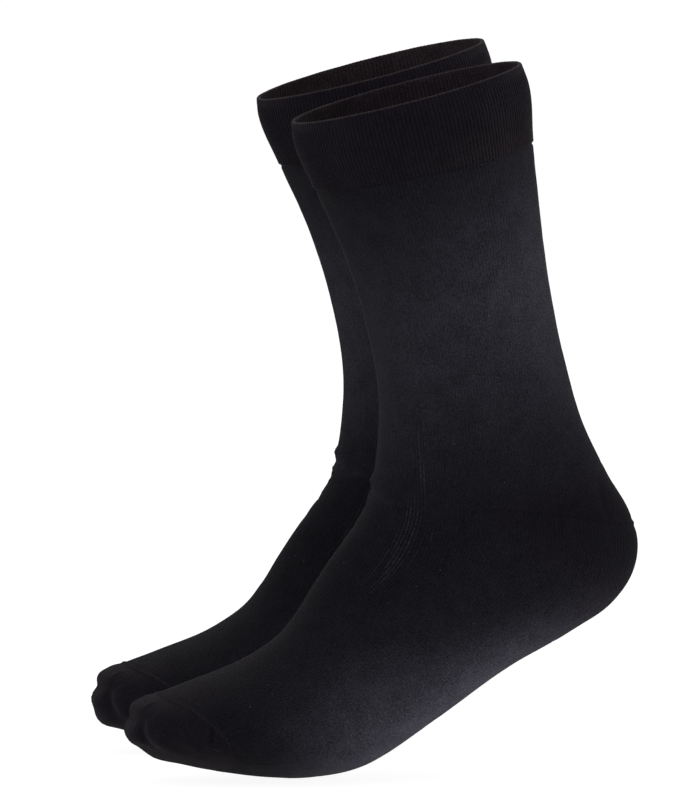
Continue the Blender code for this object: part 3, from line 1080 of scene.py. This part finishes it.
@dataclass
class Cuff:
    """The ribbed cuff, turned over at the rim and knitted in again at its lower edge.

    Attributes:
        sock: The sock it belongs to.
        wall: Its thickness, of two layers.
        proud: How far it stands out from the leg.
        steps: Points across one rib.
        rib: How far a rib stands above its grooves.
        band: The depth of the smoother band below the rim.
        fold_rows: Steps round half of the fold at the rim.
    """

    sock: Sock
    wall: float = 2.0
    proud: float = 0.35
    steps: int = 6
    rib: float = 0.42
    band: float = 4.5
    fold_rows: int = 5

    def build(self) -> bpy.types.Object:
        """Builds the cuff as one closed loop of rows: up the outside, over the rim and down inside."""
        form = self.sock.form
        columns = WALES * self.steps
        u = np.arange(columns)[None, :] / columns
        top = float(form.place_at(form.length(np.array(0.0)) + self.wall / 2))
        low_length, top_length = form.length(np.array((place_of("cuff_end"), top)))
        depth = low_length - top_length
        share = graded_shares(depth, 0.5, 3.2)[:, None]
        down = form.place_at(low_length - depth * share)
        points, out = form.points(down, u), form.normals(down, u)
        outer = points + out * (self.proud + dip(share * depth, 0.95, 1.3))[..., None]
        inner = points + out * (self.proud - self.wall)
        up = points[-1] - points[-2]
        up /= np.linalg.norm(up, axis=1, keepdims=True)
        centre, side = (outer[-1] + inner[-1]) / 2, out[-1]
        turn = np.linspace(0.0, math.pi, self.fold_rows + 2)[1:-1, None, None]
        fold_out = np.cos(turn) * side + np.sin(turn) * up
        rows = np.concatenate((outer, centre + self.wall / 2 * fold_out, inner[::-1]))
        outs = np.concatenate((out, fold_out, -out[::-1]))
        from_rim = depth - share * depth
        from_rim = np.concatenate((from_rim, np.zeros((self.fold_rows, 1)), from_rim[::-1]))
        rows = rows - outs * ridge(from_rim - self.band, 0.16, 0.9)[..., None]
        relief = 0.30 + 0.70 * soft_step((from_rim - 1.5) / self.band)
        # Painted light: the outer face takes the sock's painted light patches, the fold at the rim a
        # reddish painted highlight, and the inner wall painted light where light reaches into the opening.
        light = np.zeros(rows.shape[:-1])
        light[:len(outer)] = 1.25 * self.sock.painted_light_at(down, u)
        light[len(outer):-len(inner)] = np.sin(turn[:, :, 0]) * 0.42
        light[-len(inner):] = 0.19 if self.sock.is_near else 0.29
        piece = Piece(f"{self.sock.name}_cuff_rib")
        phase = (np.arange(columns) % self.steps) / self.steps
        index = piece.add_points(rows, outs, phase[None, :], relief, light)
        course = np.broadcast_to(run_along(rows)[:, :1] / COURSE, rows.shape[:-1])
        wale = np.arange(columns + 1) / self.steps
        piece.add_grid(index[::-1], wale, course[::-1], ring=True, flip=False)
        piece.add_grid(index[(0, -1), :][::-1], wale, course[(0, -1), :], ring=True, flip=True)
        closed = [(row.tolist(), np.roll(row, -1).tolist()) for row in (index[0], index[-1])]
        piece.sharp = [pair for a, b in closed for pair in zip(a, b)]
        return piece.build(self.sock.middle_y)


@dataclass
class Knitted:
    """A wall of plain knitting, with fewer points on its inner face than on its outer one.

    Attributes:
        sock: The sock it belongs to.
        wall: Its thickness, in millimetres.
        wale: How far a wale stands above its grooves, in millimetres.
        steps: Points across one wale of the outer face.
        thin: How many of those points make one on the inner face.
    """

    sock: Sock
    wall: float
    wale: float
    steps: int = 3
    thin: int = 6

    def walls(self, piece: Piece, points: np.ndarray, out: np.ndarray, relief: np.ndarray,
              light: np.ndarray, pulled_highlight: np.ndarray | float = 0.0,
              ) -> tuple[np.ndarray, np.ndarray, np.ndarray]:
        """Adds the points of both faces.

        Args:
            piece: The piece that they are added to.
            points: The outer face's points.
            out: The directions out of the cloth.
            relief: How strongly the stitches stand out.
            light: How much painted light lifts the cloth's colour.
            pulled_highlight: How much painted highlight the pulled wales give.

        Returns:
            The numbers of the outer points, those of the inner points, and the rows of the inner ones.
        """
        rows = np.unique(np.linspace(0, len(points) - 1, len(points) // 3).round().astype(int))
        phase = (np.arange(points.shape[1]) % self.steps) / self.steps
        inwards = -out[rows][:, ::self.thin]
        kept = points[rows][:, ::self.thin] + inwards * self.wall
        index = piece.add_points(points, out, phase[None, :], relief, light, pulled_highlight)
        return index, piece.add_points(kept, inwards, 0.0, 0.0, 0.0), rows

    def pocket(self, name: str, points: np.ndarray, out: np.ndarray, relief: np.ndarray,
               light: np.ndarray, wale: np.ndarray,
               parts: tuple[tuple[slice, np.ndarray], ...]) -> bpy.types.Object:
        """Builds a pocket whose rows all run to its two corners.

        Args:
            name: What it is called, after its sock.
            points: The outer face's points.
            out: The directions out of the cloth.
            relief: How strongly the stitches stand out.
            light: How much painted light lifts the cloth's colour.
            wale: The wale of each column.
            parts: The rows of each part that is knitted on its own, and the course of every point.

        Returns:
            The pocket.
        """
        piece = Piece(f"{self.sock.name}_{name}")
        relief = np.broadcast_to(relief, points.shape[:-1])
        index, under, rows = self.walls(piece, points, out, relief, light)
        for grid in (index, under):
            grid[:, 0], grid[:, -1] = grid[0, 0], grid[0, -1]
        for span, course in parts:
            piece.add_grid(index[span], wale, course[span], ring=False, flip=False)
        course = parts[0][1]
        piece.add_grid(under, wale[::self.thin], course[rows][:, ::self.thin], ring=False, flip=True)
        for row, flip in ((0, False), (-1, True)):
            piece.add_strip(index[row], under[row], np.stack((wale, course[row]), axis=1), flip)
        return piece.build(self.sock.middle_y)


@dataclass
class Body(Knitted):
    """The leg, the instep and the foot, knitted as one tube with an opening for the heel pocket."""

    wall: float = 1.3
    wale: float = 0.13

    def build(self) -> bpy.types.Object:
        """Builds the body from the rows of the leg and of the foot, which share their front ones."""
        form, columns = self.sock.form, WALES * self.steps
        u = np.arange(columns)[None, :] / columns
        corner = HEEL_CORNER * self.steps
        back = np.arange(corner + 1, columns - corner)
        front = np.setdiff1d(np.arange(columns), back)
        front_under = front[front % self.thin == 0] // self.thin
        leg = self._places(form, np.full(u.shape, place_of("cuff_end")), heel_edge(u, HEEL_UPPER))
        foot = self._places(form, heel_edge(u, HEEL_LOWER), toe_edge(u))

        piece = Piece(f"{self.sock.name}_body_knit")
        outer, inner, courses, kept_rows = [], [], [], []
        for places in (leg, foot):
            is_leg = places is leg
            points, out = self.sock.creased(places, u, ANKLE_CREASES + HEEL_CREASES + TOE_CREASES)
            run = run_along(points)
            points = points + out * self._edges(run, u, is_leg)[..., None]
            if is_leg:
                course = run / COURSE
            else:
                start = courses[0][-1]
                last = start[corner] + run[-1, corner] / COURSE
                scale = np.where(np.isin(np.arange(columns), back), 1.0,
                                 (last - start) * COURSE / run[-1])
                course = last - (run[-1] - run) / COURSE * scale
            relief = 1.6 - soft_step((places - place_of("cuff_end")) / 4.0)
            index, under, rows = self.walls(
                piece, points, out, relief, self.sock.painted_light_at(places, u), pulled(places, u))
            if not is_leg:
                index[0, front] = outer[0][-1, front]
                under[0, front_under] = inner[0][-1, front_under]
            for gathered, found in zip((outer, inner, courses, kept_rows), (index, under, course, rows)):
                gathered.append(found)
        wale = np.arange(columns + 1) / self.steps
        for index, under, course, rows in zip(outer, inner, courses, kept_rows):
            piece.add_grid(index, wale, course, ring=True, flip=False)
            piece.add_grid(under, wale[::self.thin], course[rows][:, ::self.thin], ring=True, flip=True)
        self._rims(piece, outer, inner, courses, corner)
        return piece.build(self.sock.middle_y)

    def _places(self, form: SockForm, first: np.ndarray, last: np.ndarray) -> np.ndarray:
        """Gives a grid of places from one edge to another, with closer rows at both."""
        start, end = form.length(first), form.length(last)
        share = graded_shares(float((end - start).mean()), 0.6, 2.35)[:, None]
        return form.place_at(start + (end - start) * share)

    def _edges(self, run: np.ndarray, u: np.ndarray, is_leg: bool) -> np.ndarray:
        """Gives how far the cloth dips or rises beside its edges, in millimetres."""
        to_end = run[-1] - run
        at_back = soft_step((0.5 - np.abs(u - 0.5) - HEEL_CORNER / WALES) / 0.03)
        if is_leg:
            return dip(run, 0.55, 1.5) + dip(to_end, 0.12, 1.6) * at_back
        return dip(run, 0.12, 1.6) * at_back + seam_rise(to_end, u)

    def _rims(self, piece: Piece, outer: list[np.ndarray], inner: list[np.ndarray],
              courses: list[np.ndarray], corner: int) -> None:
        """Closes the cloth's edges at the cuff, at the toe cap and round the heel's opening."""
        columns = outer[0].shape[1]
        wale = np.arange(columns + 1) / self.steps
        for part, row, flip in ((0, 0, False), (1, -1, True)):
            course, fine, coarse = (
                np.append(each[part][row], each[part][row][0]) for each in (courses, outer, inner))
            piece.add_strip(fine, coarse, np.stack((wale, course), axis=1), flip)
        span = slice(corner, columns - corner + 1)
        span_under = slice(corner // self.thin, (columns - corner) // self.thin + 1)
        for part, row, flip in ((0, -1, True), (1, 0, False)):
            stitch = np.stack((wale[span], courses[part][row][span]), axis=1)
            piece.add_strip(outer[part][row][span], inner[part][row][span_under], stitch, flip)


def seam_rise(away: np.ndarray, u: np.ndarray) -> np.ndarray:
    """Gives how far the cloth rises beside the toe's linking seam, which runs over the top only.

    Args:
        away: The distance from the seam, in millimetres.
        u: Shares of the way round.

    Returns:
        The rise, in millimetres.
    """
    top = soft_step((0.275 - np.minimum(u, 1.0 - u)) / 0.03)
    return (ridge(away, 0.20, 0.9) - ridge(away - 2.2, 0.14, 1.1)) * top


@dataclass
class HeelPocket(Knitted):
    """The turned heel, knitted to and fro, with a gore line where its two halves meet.

    Attributes:
        gore: Where the gore line lies, as a share of the way from the upper edge to the lower one.
        gore_rise: How far the gore line stands out, in millimetres.
    """

    wall: float = 1.5
    wale: float = 0.09
    gore: float = 0.33
    gore_rise: float = 0.34

    def build(self) -> bpy.types.Object:
        """Builds the pocket from rows that all run to its two corners."""
        form = self.sock.form
        columns = (WALES - 2 * HEEL_CORNER) * self.steps + 1
        wale = HEEL_CORNER + np.arange(columns) / self.steps
        u = wale[None, :] / WALES
        start, end = form.length(heel_edge(u, HEEL_UPPER)), form.length(heel_edge(u, HEEL_LOWER))
        upper, lower = graded_shares(34.0, 0.5, 2.0), graded_shares(66.0, 0.5, 2.2)
        share = np.concatenate((upper * self.gore, self.gore + lower[1:] * (1.0 - self.gore)))[:, None]
        gore_row = len(upper) - 1
        places = form.place_at(start + (end - start) * share)
        points, out = self.sock.creased(places, u, HEEL_CREASES + ANKLE_CREASES)
        run = run_along(points)
        below_gore = run - run[gore_row]
        to_gore, to_edge = np.abs(below_gore), np.minimum(run, run[-1] - run)
        room = np.clip(run[-1] / 6.0, 0.0, 1.0)
        holes = 0.5 + 0.5 * np.cos(wale[None, :] * 2 * math.pi / 2.0)
        lift = ridge(to_gore, self.gore_rise, 0.9) - ridge(to_gore - 2.0, 0.18, 1.0)
        lift = lift + dip(to_edge, 0.12, 1.6) - holes * ridge(below_gore - 1.0, 0.30, 0.7)
        # Painted light from the sock's patches, and the pocket made lighter towards its edges, over 16 mm.
        light = self.sock.painted_light_at(places, u) + 0.026 * (1.0 - soft_step(to_edge / 16.0))
        course = run / COURSE
        from_end = 400.0 - (run[-1] - run) / COURSE
        return self.pocket(
            "heel_pocket", points + out * (lift * room)[..., None], out, room, light, wale,
            ((slice(0, gore_row + 1), course), (slice(gore_row, None), from_end)))


@dataclass
class ToeCap(Knitted):
    """The toe cap, a pocket whose wales run from the linking seam over the tip to the sole."""

    wall: float = 1.4
    wale: float = 0.05

    def build(self) -> bpy.types.Object:
        """Builds the cap from rows that run from one side's corner to the other's."""
        wales = WALES // 2
        wale = np.arange(wales * self.steps + 1) / self.steps
        side = np.sin(math.pi * (wale / wales - 0.5))
        edge = np.sqrt(np.clip(1.0 - side**2, 0.0, None))
        up = edge[None, :] * np.cos(math.pi * graded_shares(75.0, 0.5, 1.75))[:, None]
        across = np.broadcast_to(-side[None, :], up.shape)
        u = np.arctan2(-across, up) / (2 * math.pi) % 1.0
        points = self._cap(np.hypot(up, across), u)
        out, run = self._normals(points), run_along(points)
        room = np.clip(run[-1] / 6.0, 0.0, 1.0)
        moved = sum((c.on(self.sock.form, points) for c in TOE_CREASES), np.zeros(up.shape))
        moved = moved + self._lobes(points)
        moved = moved + seam_rise(run, np.broadcast_to(u[:1], run.shape)) * room
        return self.pocket(
            "toe_cap", points + out * moved[..., None], out, room, np.zeros(up.shape), wale,
            ((slice(None), run / COURSE),))

    def _cap(self, radius: np.ndarray, u: np.ndarray) -> np.ndarray:
        """Gives points on the rounded end of the sock.

        Args:
            radius: How far each lies from the tip, from 0 to 1 at the cap's edge.
            u: Its share of the way round.

        Returns:
            The points.
        """
        form = self.sock.form
        places = np.linspace(place_of("toes"), place_of("toe_tip"), 160)
        widths = np.array([np.abs(form.points(p, np.array(0.25))[1]) for p in places])
        size = radius * np.interp(toe_edge(u), places, widths)
        place = np.interp(-size, -widths, places)
        on_form = form.points(place, u)
        last = form.points(np.full_like(u, places[-1]), u)
        centre = form.points(np.full(2, places[-1]), np.array((0.0, 0.5))).mean(axis=0)
        inside = np.clip(size / widths[-1], 0.0, 1.0)[..., None]
        return np.where(size[..., None] < widths[-1], centre + (last - centre) * inside, on_form)

    def _normals(self, points: np.ndarray) -> np.ndarray:
        """Gives the directions out of the cap, worked out from its own grid of points."""
        down, along = np.gradient(points, axis=0), np.gradient(points, axis=1)
        out = np.cross(down, along)
        out = out / np.maximum(np.linalg.norm(out, axis=-1, keepdims=True), 1e-9)
        out[:, 0], out[:, -1] = out[:, 1], out[:, -2]
        for column in (0, -1):
            mean = out[:, column].mean(axis=0)
            out[:, column] = mean / np.linalg.norm(mean)
        return out

    def _lobes(self, points: np.ndarray) -> np.ndarray:
        """Gives how far the cloth stands out over the toes and sinks between them.

        Args:
            points: Points on the cap.

        Returns:
            The moves, in millimetres.
        """
        total = np.zeros(points.shape[:-1])
        for bump in TOE_BUMPS:
            apart = (points - np.array((bump.x, bump.y, bump.z))) / np.array(bump.reach)
            rise = bump.rise if self.sock.is_near else bump.far_rise
            total += rise * np.exp(-(apart**2).sum(axis=-1))
        return total


class Bump(NamedTuple):
    """A soft rise over a toe, or a dip between two, in millimetres about the sock's middle plane.

    Attributes:
        x: Its middle's x.
        y: Its middle's y.
        z: Its middle's z.
        reach: How far it spreads along each axis.
        rise: How far it stands out on the near sock.
        far_rise: How far it stands out on the far sock.
    """

    x: float
    y: float
    z: float
    reach: tuple[float, float, float]
    rise: float
    far_rise: float


TOE_BUMPS = (
    #     x       y      z      reach               near   far
    Bump(-132.5,   2.0, -298.0, (9.0, 26.0, 3.6), -2.7, -2.9),
    Bump(-131.0,   6.0, -291.5, (8.0, 16.0, 4.0), -1.0, -1.0),
    Bump(-134.0, -12.0, -305.5, (8.0, 7.0, 4.5), 0.4, 1.4),
    Bump(-131.0, -22.5, -306.0, (9.0, 3.4, 10.0), -2.2, -2.2),
    Bump(-125.0, -29.0, -307.0, (9.0, 4.5, 7.0), 0.6, 0.6),
    Bump(-129.0, -14.0, -314.0, (9.0, 30.0, 4.0), -2.3, 2.4),
    Bump(-112.0, -20.0, -322.5, (14.0, 26.0, 4.0), -0.8, 2.0),
    Bump(-117.0, -33.0, -312.0, (10.0, 3.4, 8.0), -1.0, -1.0),
    Bump(-131.0,  22.0, -298.0, (9.0, 4.0, 9.0), -1.5, -1.3),
    Bump(-127.0,  28.0, -303.0, (9.0, 5.0, 7.0), 0.7, 0.7),
)


# ---------------------------------------------------------------- what lies on the cloth
class Thing(Enum):
    """What is scattered over the cloth."""

    FIBRE = "stray_fibres"
    SPECK = "lint"


class Scatter(GeometryTool):
    """Scatters small things over a piece of cloth."""

    def __init__(self, thing: Thing) -> None:
        """Builds the geometry tree.

        Args:
            thing: What it scatters: curved fibres, or rounded specks.
        """
        self.thing = thing
        super().__init__(
            thing.value, ("Density", "NodeSocketFloat", 1000.0), ("Length", "NodeSocketFloat", 0.001),
            ("Thickness", "NodeSocketFloat", 0.00005), ("Seed", "NodeSocketInt", 1),
        )
        t, inside = self.t, self.inside
        wanted = t.maths("GREATER_THAN", self.named("relief"), 0.5)
        spots = t.add("GeometryNodeDistributePointsOnFaces", i0=inside["Geometry"], i1=wanted)
        t.put(spots.inputs["Density"], inside["Density"])
        t.put(spots.inputs["Seed"], inside["Seed"])
        make, lean = {Thing.FIBRE: (self._fibre, 1.1), Thing.SPECK: (self._speck, 0.3)}[thing]
        self.close(self.instances(
            spots.outputs[0], make(), spots.outputs["Rotation"],
            self.random("FLOAT_VECTOR", (-lean, -lean, -math.pi), (lean, lean, math.pi)),
            self.random("FLOAT_VECTOR", (0.7, 0.7, 0.45), (1.3, 1.3, 1.5)),
        ))

    def _fibre(self) -> bpy.types.NodeSocket:
        """Adds nodes that make one fibre, curved and tapered, and gives its mesh."""
        t, inside = self.t, self.inside
        line = t.add("GeometryNodeCurvePrimitiveLine")
        t.put(line.inputs["End"], t.add("ShaderNodeCombineXYZ", i2=inside["Length"]).outputs[0])
        fine = t.add("GeometryNodeResampleCurve", i0=line.outputs[0])
        t.put(fine.inputs["Count"], 5)
        along = t.add("GeometryNodeSplineParameter").outputs[0]
        bend = t.maths("MULTIPLY", t.maths("POWER", along, 2.0), t.maths("MULTIPLY", inside["Length"], 0.6))
        aside = t.add("ShaderNodeCombineXYZ", i0=bend)
        bent = t.add("GeometryNodeSetPosition", i0=fine.outputs[0], i3=aside.outputs[0])
        radius = t.maths("SUBTRACT", 1.0, t.maths("MULTIPLY", along, 0.8))
        thin = t.add("GeometryNodeSetCurveRadius", i0=bent.outputs[0])
        t.put(thin.inputs["Radius"], radius)
        ring = t.add("GeometryNodeCurvePrimitiveCircle")
        t.put(ring.inputs["Resolution"], 3)
        t.put(ring.inputs["Radius"], t.maths("MULTIPLY", inside["Thickness"], 0.5))
        made = t.add("GeometryNodeCurveToMesh", i0=thin.outputs[0], i1=ring.outputs[0])
        t.put(made.inputs["Fill Caps"], True)
        if "Scale" in made.inputs:
            t.put(made.inputs["Scale"], radius)
        return made.outputs[0]

    def _speck(self) -> bpy.types.NodeSocket:
        """Adds nodes that make one flattened speck, and gives its mesh."""
        t = self.t
        ball = t.add("GeometryNodeMeshIcoSphere")
        t.put(ball.inputs["Radius"], t.maths("MULTIPLY", self.inside["Length"], 0.5))
        t.put(ball.inputs["Subdivisions"], 2)
        size = t.add("GeometryNodeTransform", i0=ball.outputs[0])
        t.put(size.inputs["Scale"], (1.0, 0.62, 0.45))
        return size.outputs[0]

    def over(self, sock_name: str, cloth: bpy.types.Object, density: float, length: float,
             thickness: float, seed: int, material: bpy.types.Material) -> bpy.types.Object:
        """Scatters things over a piece of cloth, as a piece of their own.

        Args:
            sock_name: The name of the cloth's sock.
            cloth: The cloth.
            density: How many to a square metre.
            length: How long each is, in millimetres.
            thickness: How thick each is, in millimetres.
            seed: Sets where they lie.
            material: What they are made of.

        Returns:
            The new piece.
        """
        piece = bpy.data.objects.new(f"{sock_name}_{self.thing.value}", cloth.data.copy())
        bpy.context.scene.collection.objects.link(piece)
        return self.run(piece, {
            "Density": density, "Length": length * MM, "Thickness": thickness * MM, "Seed": seed,
            "Material": material,
        })


class LinkingStitches(GeometryTool):
    """The row of linked loops that joins the toe cap to the foot over the toes."""

    def __init__(self) -> None:
        """Builds the geometry tree, which lays one slanted loop at each point of a line."""
        super().__init__(
            "linking_stitches", ("Length", "NodeSocketFloat", 0.002),
            ("Thickness", "NodeSocketFloat", 0.0006), ("Slant", "NodeSocketFloat", 0.6),
            ("Seed", "NodeSocketInt", 1),
        )
        t, inside = self.t, self.inside
        ball = t.add("GeometryNodeMeshUVSphere")
        for name, value in (("Segments", 8), ("Rings", 5), ("Radius", 0.5)):
            t.put(ball.inputs[name], value)
        points = t.add("GeometryNodeMeshToPoints", i0=inside["Geometry"])
        upright = t.add("FunctionNodeAlignRotationToVector", {"axis": "Z"})
        t.put(upright.inputs["Vector"], self.named("out", "FLOAT_VECTOR"))
        facing = t.add("FunctionNodeAlignRotationToVector", {"axis": "X", "pivot_axis": "Z"},
                       i0=upright.outputs[0])
        t.put(facing.inputs["Vector"], self.named("along", "FLOAT_VECTOR"))
        wobble = self.random("FLOAT", 0.75, 1.25)
        turn = t.add("ShaderNodeCombineXYZ", i2=t.maths("MULTIPLY", inside["Slant"], wobble))
        size = t.add("ShaderNodeCombineXYZ", i0=inside["Length"], i1=inside["Thickness"],
                     i2=inside["Thickness"])
        self.close(self.instances(
            points.outputs[0], ball.outputs[0], facing.outputs[0], turn.outputs[0],
            t.scaled(size.outputs[0], wobble),
        ))

    def build(self, sock: Sock, material: bpy.types.Material) -> bpy.types.Object:
        """Lays the loops along the seam of one sock.

        Args:
            sock: The sock.
            material: The yarn's finish.

        Returns:
            The new piece.
        """
        reach, gap = 0.268, 0.5 / WALES
        u = np.arange(-reach, reach + gap / 2, gap * 1.35)
        place = toe_edge(u)
        points, out = sock.form.points(place, u), sock.form.normals(place, u)
        along = np.gradient(points, axis=0)
        along /= np.linalg.norm(along, axis=1, keepdims=True)
        moved = sum((c.on(sock.form, points) for c in TOE_CREASES), np.zeros(len(points)))
        points = points + out * (moved + 0.08)[:, None]
        points = points * MM
        points[:, 1] += sock.middle_y
        mesh = bpy.data.meshes.new(f"{sock.name}_toe_linking")
        mesh.from_pydata(points.tolist(), [], [])
        for name, vectors in (("along", along), ("out", out)):
            mesh.attributes.new(name, "FLOAT_VECTOR", "POINT").data.foreach_set(
                "vector", vectors.astype(np.float32).ravel())
        piece = bpy.data.objects.new(mesh.name, mesh)
        bpy.context.scene.collection.objects.link(piece)
        return self.run(piece, {
            "Length": 1.7 * MM, "Thickness": 0.50 * MM, "Slant": 0.75, "Seed": sock.seed,
            "Material": material,
        })


# ---------------------------------------------------------------- the studio
@dataclass
class Studio:
    """The floor, the lights and the camera.

    Attributes:
        floor_drop: How far below the socks the floor lies, in millimetres.
        floor_light: How strongly the floor lights the socks.
        floor_look: How bright it looks.
        world_light: How strongly the studio's walls and ceiling light the socks.
        azimuth: The camera's angle about the upright axis, in degrees.
        elevation: Its height above the horizon, in degrees.
        distance: How far it stands from what it looks at, in metres.
        view_height: The height that it takes in there, in metres.
        target: What it looks at, in metres.
    """

    floor_drop: float = 0.6
    floor_light: float = 0.43
    floor_look: float = 0.92
    world_light: float = 0.52
    azimuth: float = -6.0
    elevation: float = 4.6
    distance: float = 14.0
    view_height: float = 0.384
    target: tuple[float, float, float] = (-0.0216, 0.0010, -0.1539)

    def build(self, lowest: float) -> None:
        """Sets up the studio.

        Args:
            lowest: The height of the socks' lowest point, in metres.
        """
        scene = bpy.context.scene
        scene.view_settings.view_transform = "Standard"
        self._floor(lowest - self.floor_drop * MM)
        self._world(scene)
        self._light("key", (0.55, -2.1, 0.9), 1.5, 8.0, (1.0, 0.985, 0.97))
        self._light("low_right", (1.9, -0.5, 0.15), 0.55, 10.0, (0.95, 0.97, 1.0))
        self._light("left", (-2.0, -1.0, 0.5), 1.4, 13.0, (1.0, 0.97, 0.97))
        self._light("back", (0.4, 2.2, 1.4), 1.8, 12.0, (1.0, 0.97, 0.96))
        self._camera(scene)

    def _floor(self, height: float) -> None:
        """Lays a plain pale floor that reaches past every view."""
        radius, sides = 120.0, 64
        angles = np.arange(sides) * 2 * math.pi / sides
        points = [(radius * math.cos(a), radius * math.sin(a), height) for a in angles]
        mesh = bpy.data.meshes.new("floor")
        mesh.from_pydata(points, [], [list(range(sides))])
        floor = bpy.data.objects.new("floor", mesh)
        bpy.context.scene.collection.objects.link(floor)
        material, t, shader = new_material("pale_floor", (0.8, 0.8, 0.8))
        shader["Base Color"].default_value = (0.22, 0.22, 0.22, 1.0)
        shader["Emission Color"].default_value = (1.0, 1.0, 1.0, 1.0)
        shader["Roughness"].default_value = 0.9
        shader["Specular IOR Level"].default_value = 0.0
        t.put(shader["Emission Strength"], self._seen(t, self.floor_light, self.floor_look))
        mesh.materials.append(material)
        floor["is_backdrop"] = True

    def _world(self, scene: bpy.types.Scene) -> None:
        """Fills the studio with even white light."""
        world = bpy.data.worlds.new("studio")
        world.use_nodes = True
        background = world.node_tree.nodes["Background"]
        background.inputs["Color"].default_value = (1.0, 1.0, 1.0, 1.0)
        t = Tree(world.node_tree)
        t.put(background.inputs["Strength"], self._seen(t, self.world_light, 1.0))
        scene.world = world

    def _seen(self, t: Tree, light: float, look: float) -> bpy.types.NodeSocket:
        """Gives a strength that differs between what lights the socks and what is seen behind them."""
        direct = t.add("ShaderNodeLightPath").outputs["Is Camera Ray"]
        return t.maths("ADD", t.maths("MULTIPLY", direct, look - light), light)

    def _light(self, name: str, at: tuple[float, float, float], size: float, power: float,
               colour: tuple[float, float, float]) -> None:
        """Adds a soft square light that faces the socks.

        Args:
            name: The light's name.
            at: Where it hangs, in metres from the camera's target.
            size: The length of its side, in metres.
            power: Its power, in watts.
            colour: Its colour.
        """
        data = bpy.data.lights.new(name, "AREA")
        data.size, data.energy, data.color = size, power, colour
        light = bpy.data.objects.new(name, data)
        light.location = Vector(self.target) + Vector(at)
        light.rotation_euler = (-Vector(at)).to_track_quat("-Z", "Y").to_euler()
        light.visible_camera = False
        bpy.context.scene.collection.objects.link(light)

    def _camera(self, scene: bpy.types.Scene) -> None:
        """Adds the camera, with a long lens from far away."""
        data = bpy.data.cameras.new("camera")
        data.lens = data.sensor_width * self.distance / self.view_height
        data.clip_end = 200.0
        camera = bpy.data.objects.new("camera", data)
        a, e = math.radians(self.azimuth), math.radians(self.elevation)
        back = Vector((math.sin(a) * math.cos(e), -math.cos(a) * math.cos(e), math.sin(e)))
        camera.location = Vector(self.target) + back * self.distance
        camera.rotation_euler = (-back).to_track_quat("-Z", "Y").to_euler()
        scene.collection.objects.link(camera)
        scene.camera = camera


def attach(piece: bpy.types.Object, slot: str, *nodes: str) -> None:
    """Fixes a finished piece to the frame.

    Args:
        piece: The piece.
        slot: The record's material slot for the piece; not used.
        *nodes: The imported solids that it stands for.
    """
    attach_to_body(piece, "root")
    if nodes:
        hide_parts(*nodes)
    piece.data.calc_loop_triangles()
    log.info("%s: %d triangles", piece.name, len(piece.data.loop_triangles))


def main() -> None:
    """Builds both socks and the studio."""
    logging.basicConfig(level=logging.INFO, format="%(name)s: %(message)s")
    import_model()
    form = SockForm()
    stitches, nap = stitch_group(), nap_group()
    rib, plain, heel, toe = (f.material(stitches, nap) for f in (RIB, PLAIN, HEEL, TOE))
    yarn = plain_material("black_linking_yarn", (0.0085, 0.0072, 0.0100), 0.85, 0.4)
    fibre = plain_material("black_stray_fibre", (0.035, 0.030, 0.034), 0.7, 0.5)
    speck = plain_material("pale_lint", (0.14, 0.115, 0.115), 0.9, 0.4)
    relief, linking = StitchRelief(), LinkingStitches()
    fuzz, lint = Scatter(Thing.FIBRE), Scatter(Thing.SPECK)

    for number, name in enumerate(("near_sock", "far_sock")):
        sock = Sock(name, form, seed=11 + 6 * number, painted_light_strength=1.0 + 0.5 * number)
        cuff, body, pocket, cap = Cuff(sock), Body(sock), HeelPocket(sock), ToeCap(sock)

        cuff_piece = cuff.build()
        relief.on(cuff_piece, cuff.rib, rib, sock.seed)
        attach(cuff_piece, "rib_knit", f"{name}_cuff")

        body_piece = body.build()
        relief.on(body_piece, body.wale, plain, sock.seed)
        attach(body_piece, "plain_knit", f"{name}_leg", f"{name}_foot")

        heel_piece = pocket.build()
        relief.on(heel_piece, pocket.wale, heel, sock.seed)
        attach(heel_piece, "heel_knit", f"{name}_heel")

        toe_piece = cap.build()
        relief.on(toe_piece, cap.wale, toe, sock.seed)
        attach(toe_piece, "toe_knit", f"{name}_toe")

        attach(linking.build(sock, yarn), "toe_knit")
        fibres = fuzz.over(name, body_piece, density=22000.0, length=1.1, thickness=0.045,
                           seed=sock.seed, material=fibre)
        attach(fibres, "plain_knit")
        specks = lint.over(name, body_piece, density=1500.0, length=0.40, thickness=0.3,
                           seed=sock.seed + 3, material=speck)
        attach(specks, "plain_knit")

    Studio().build(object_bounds()[0].z)


if __name__ == "__main__":
    main()
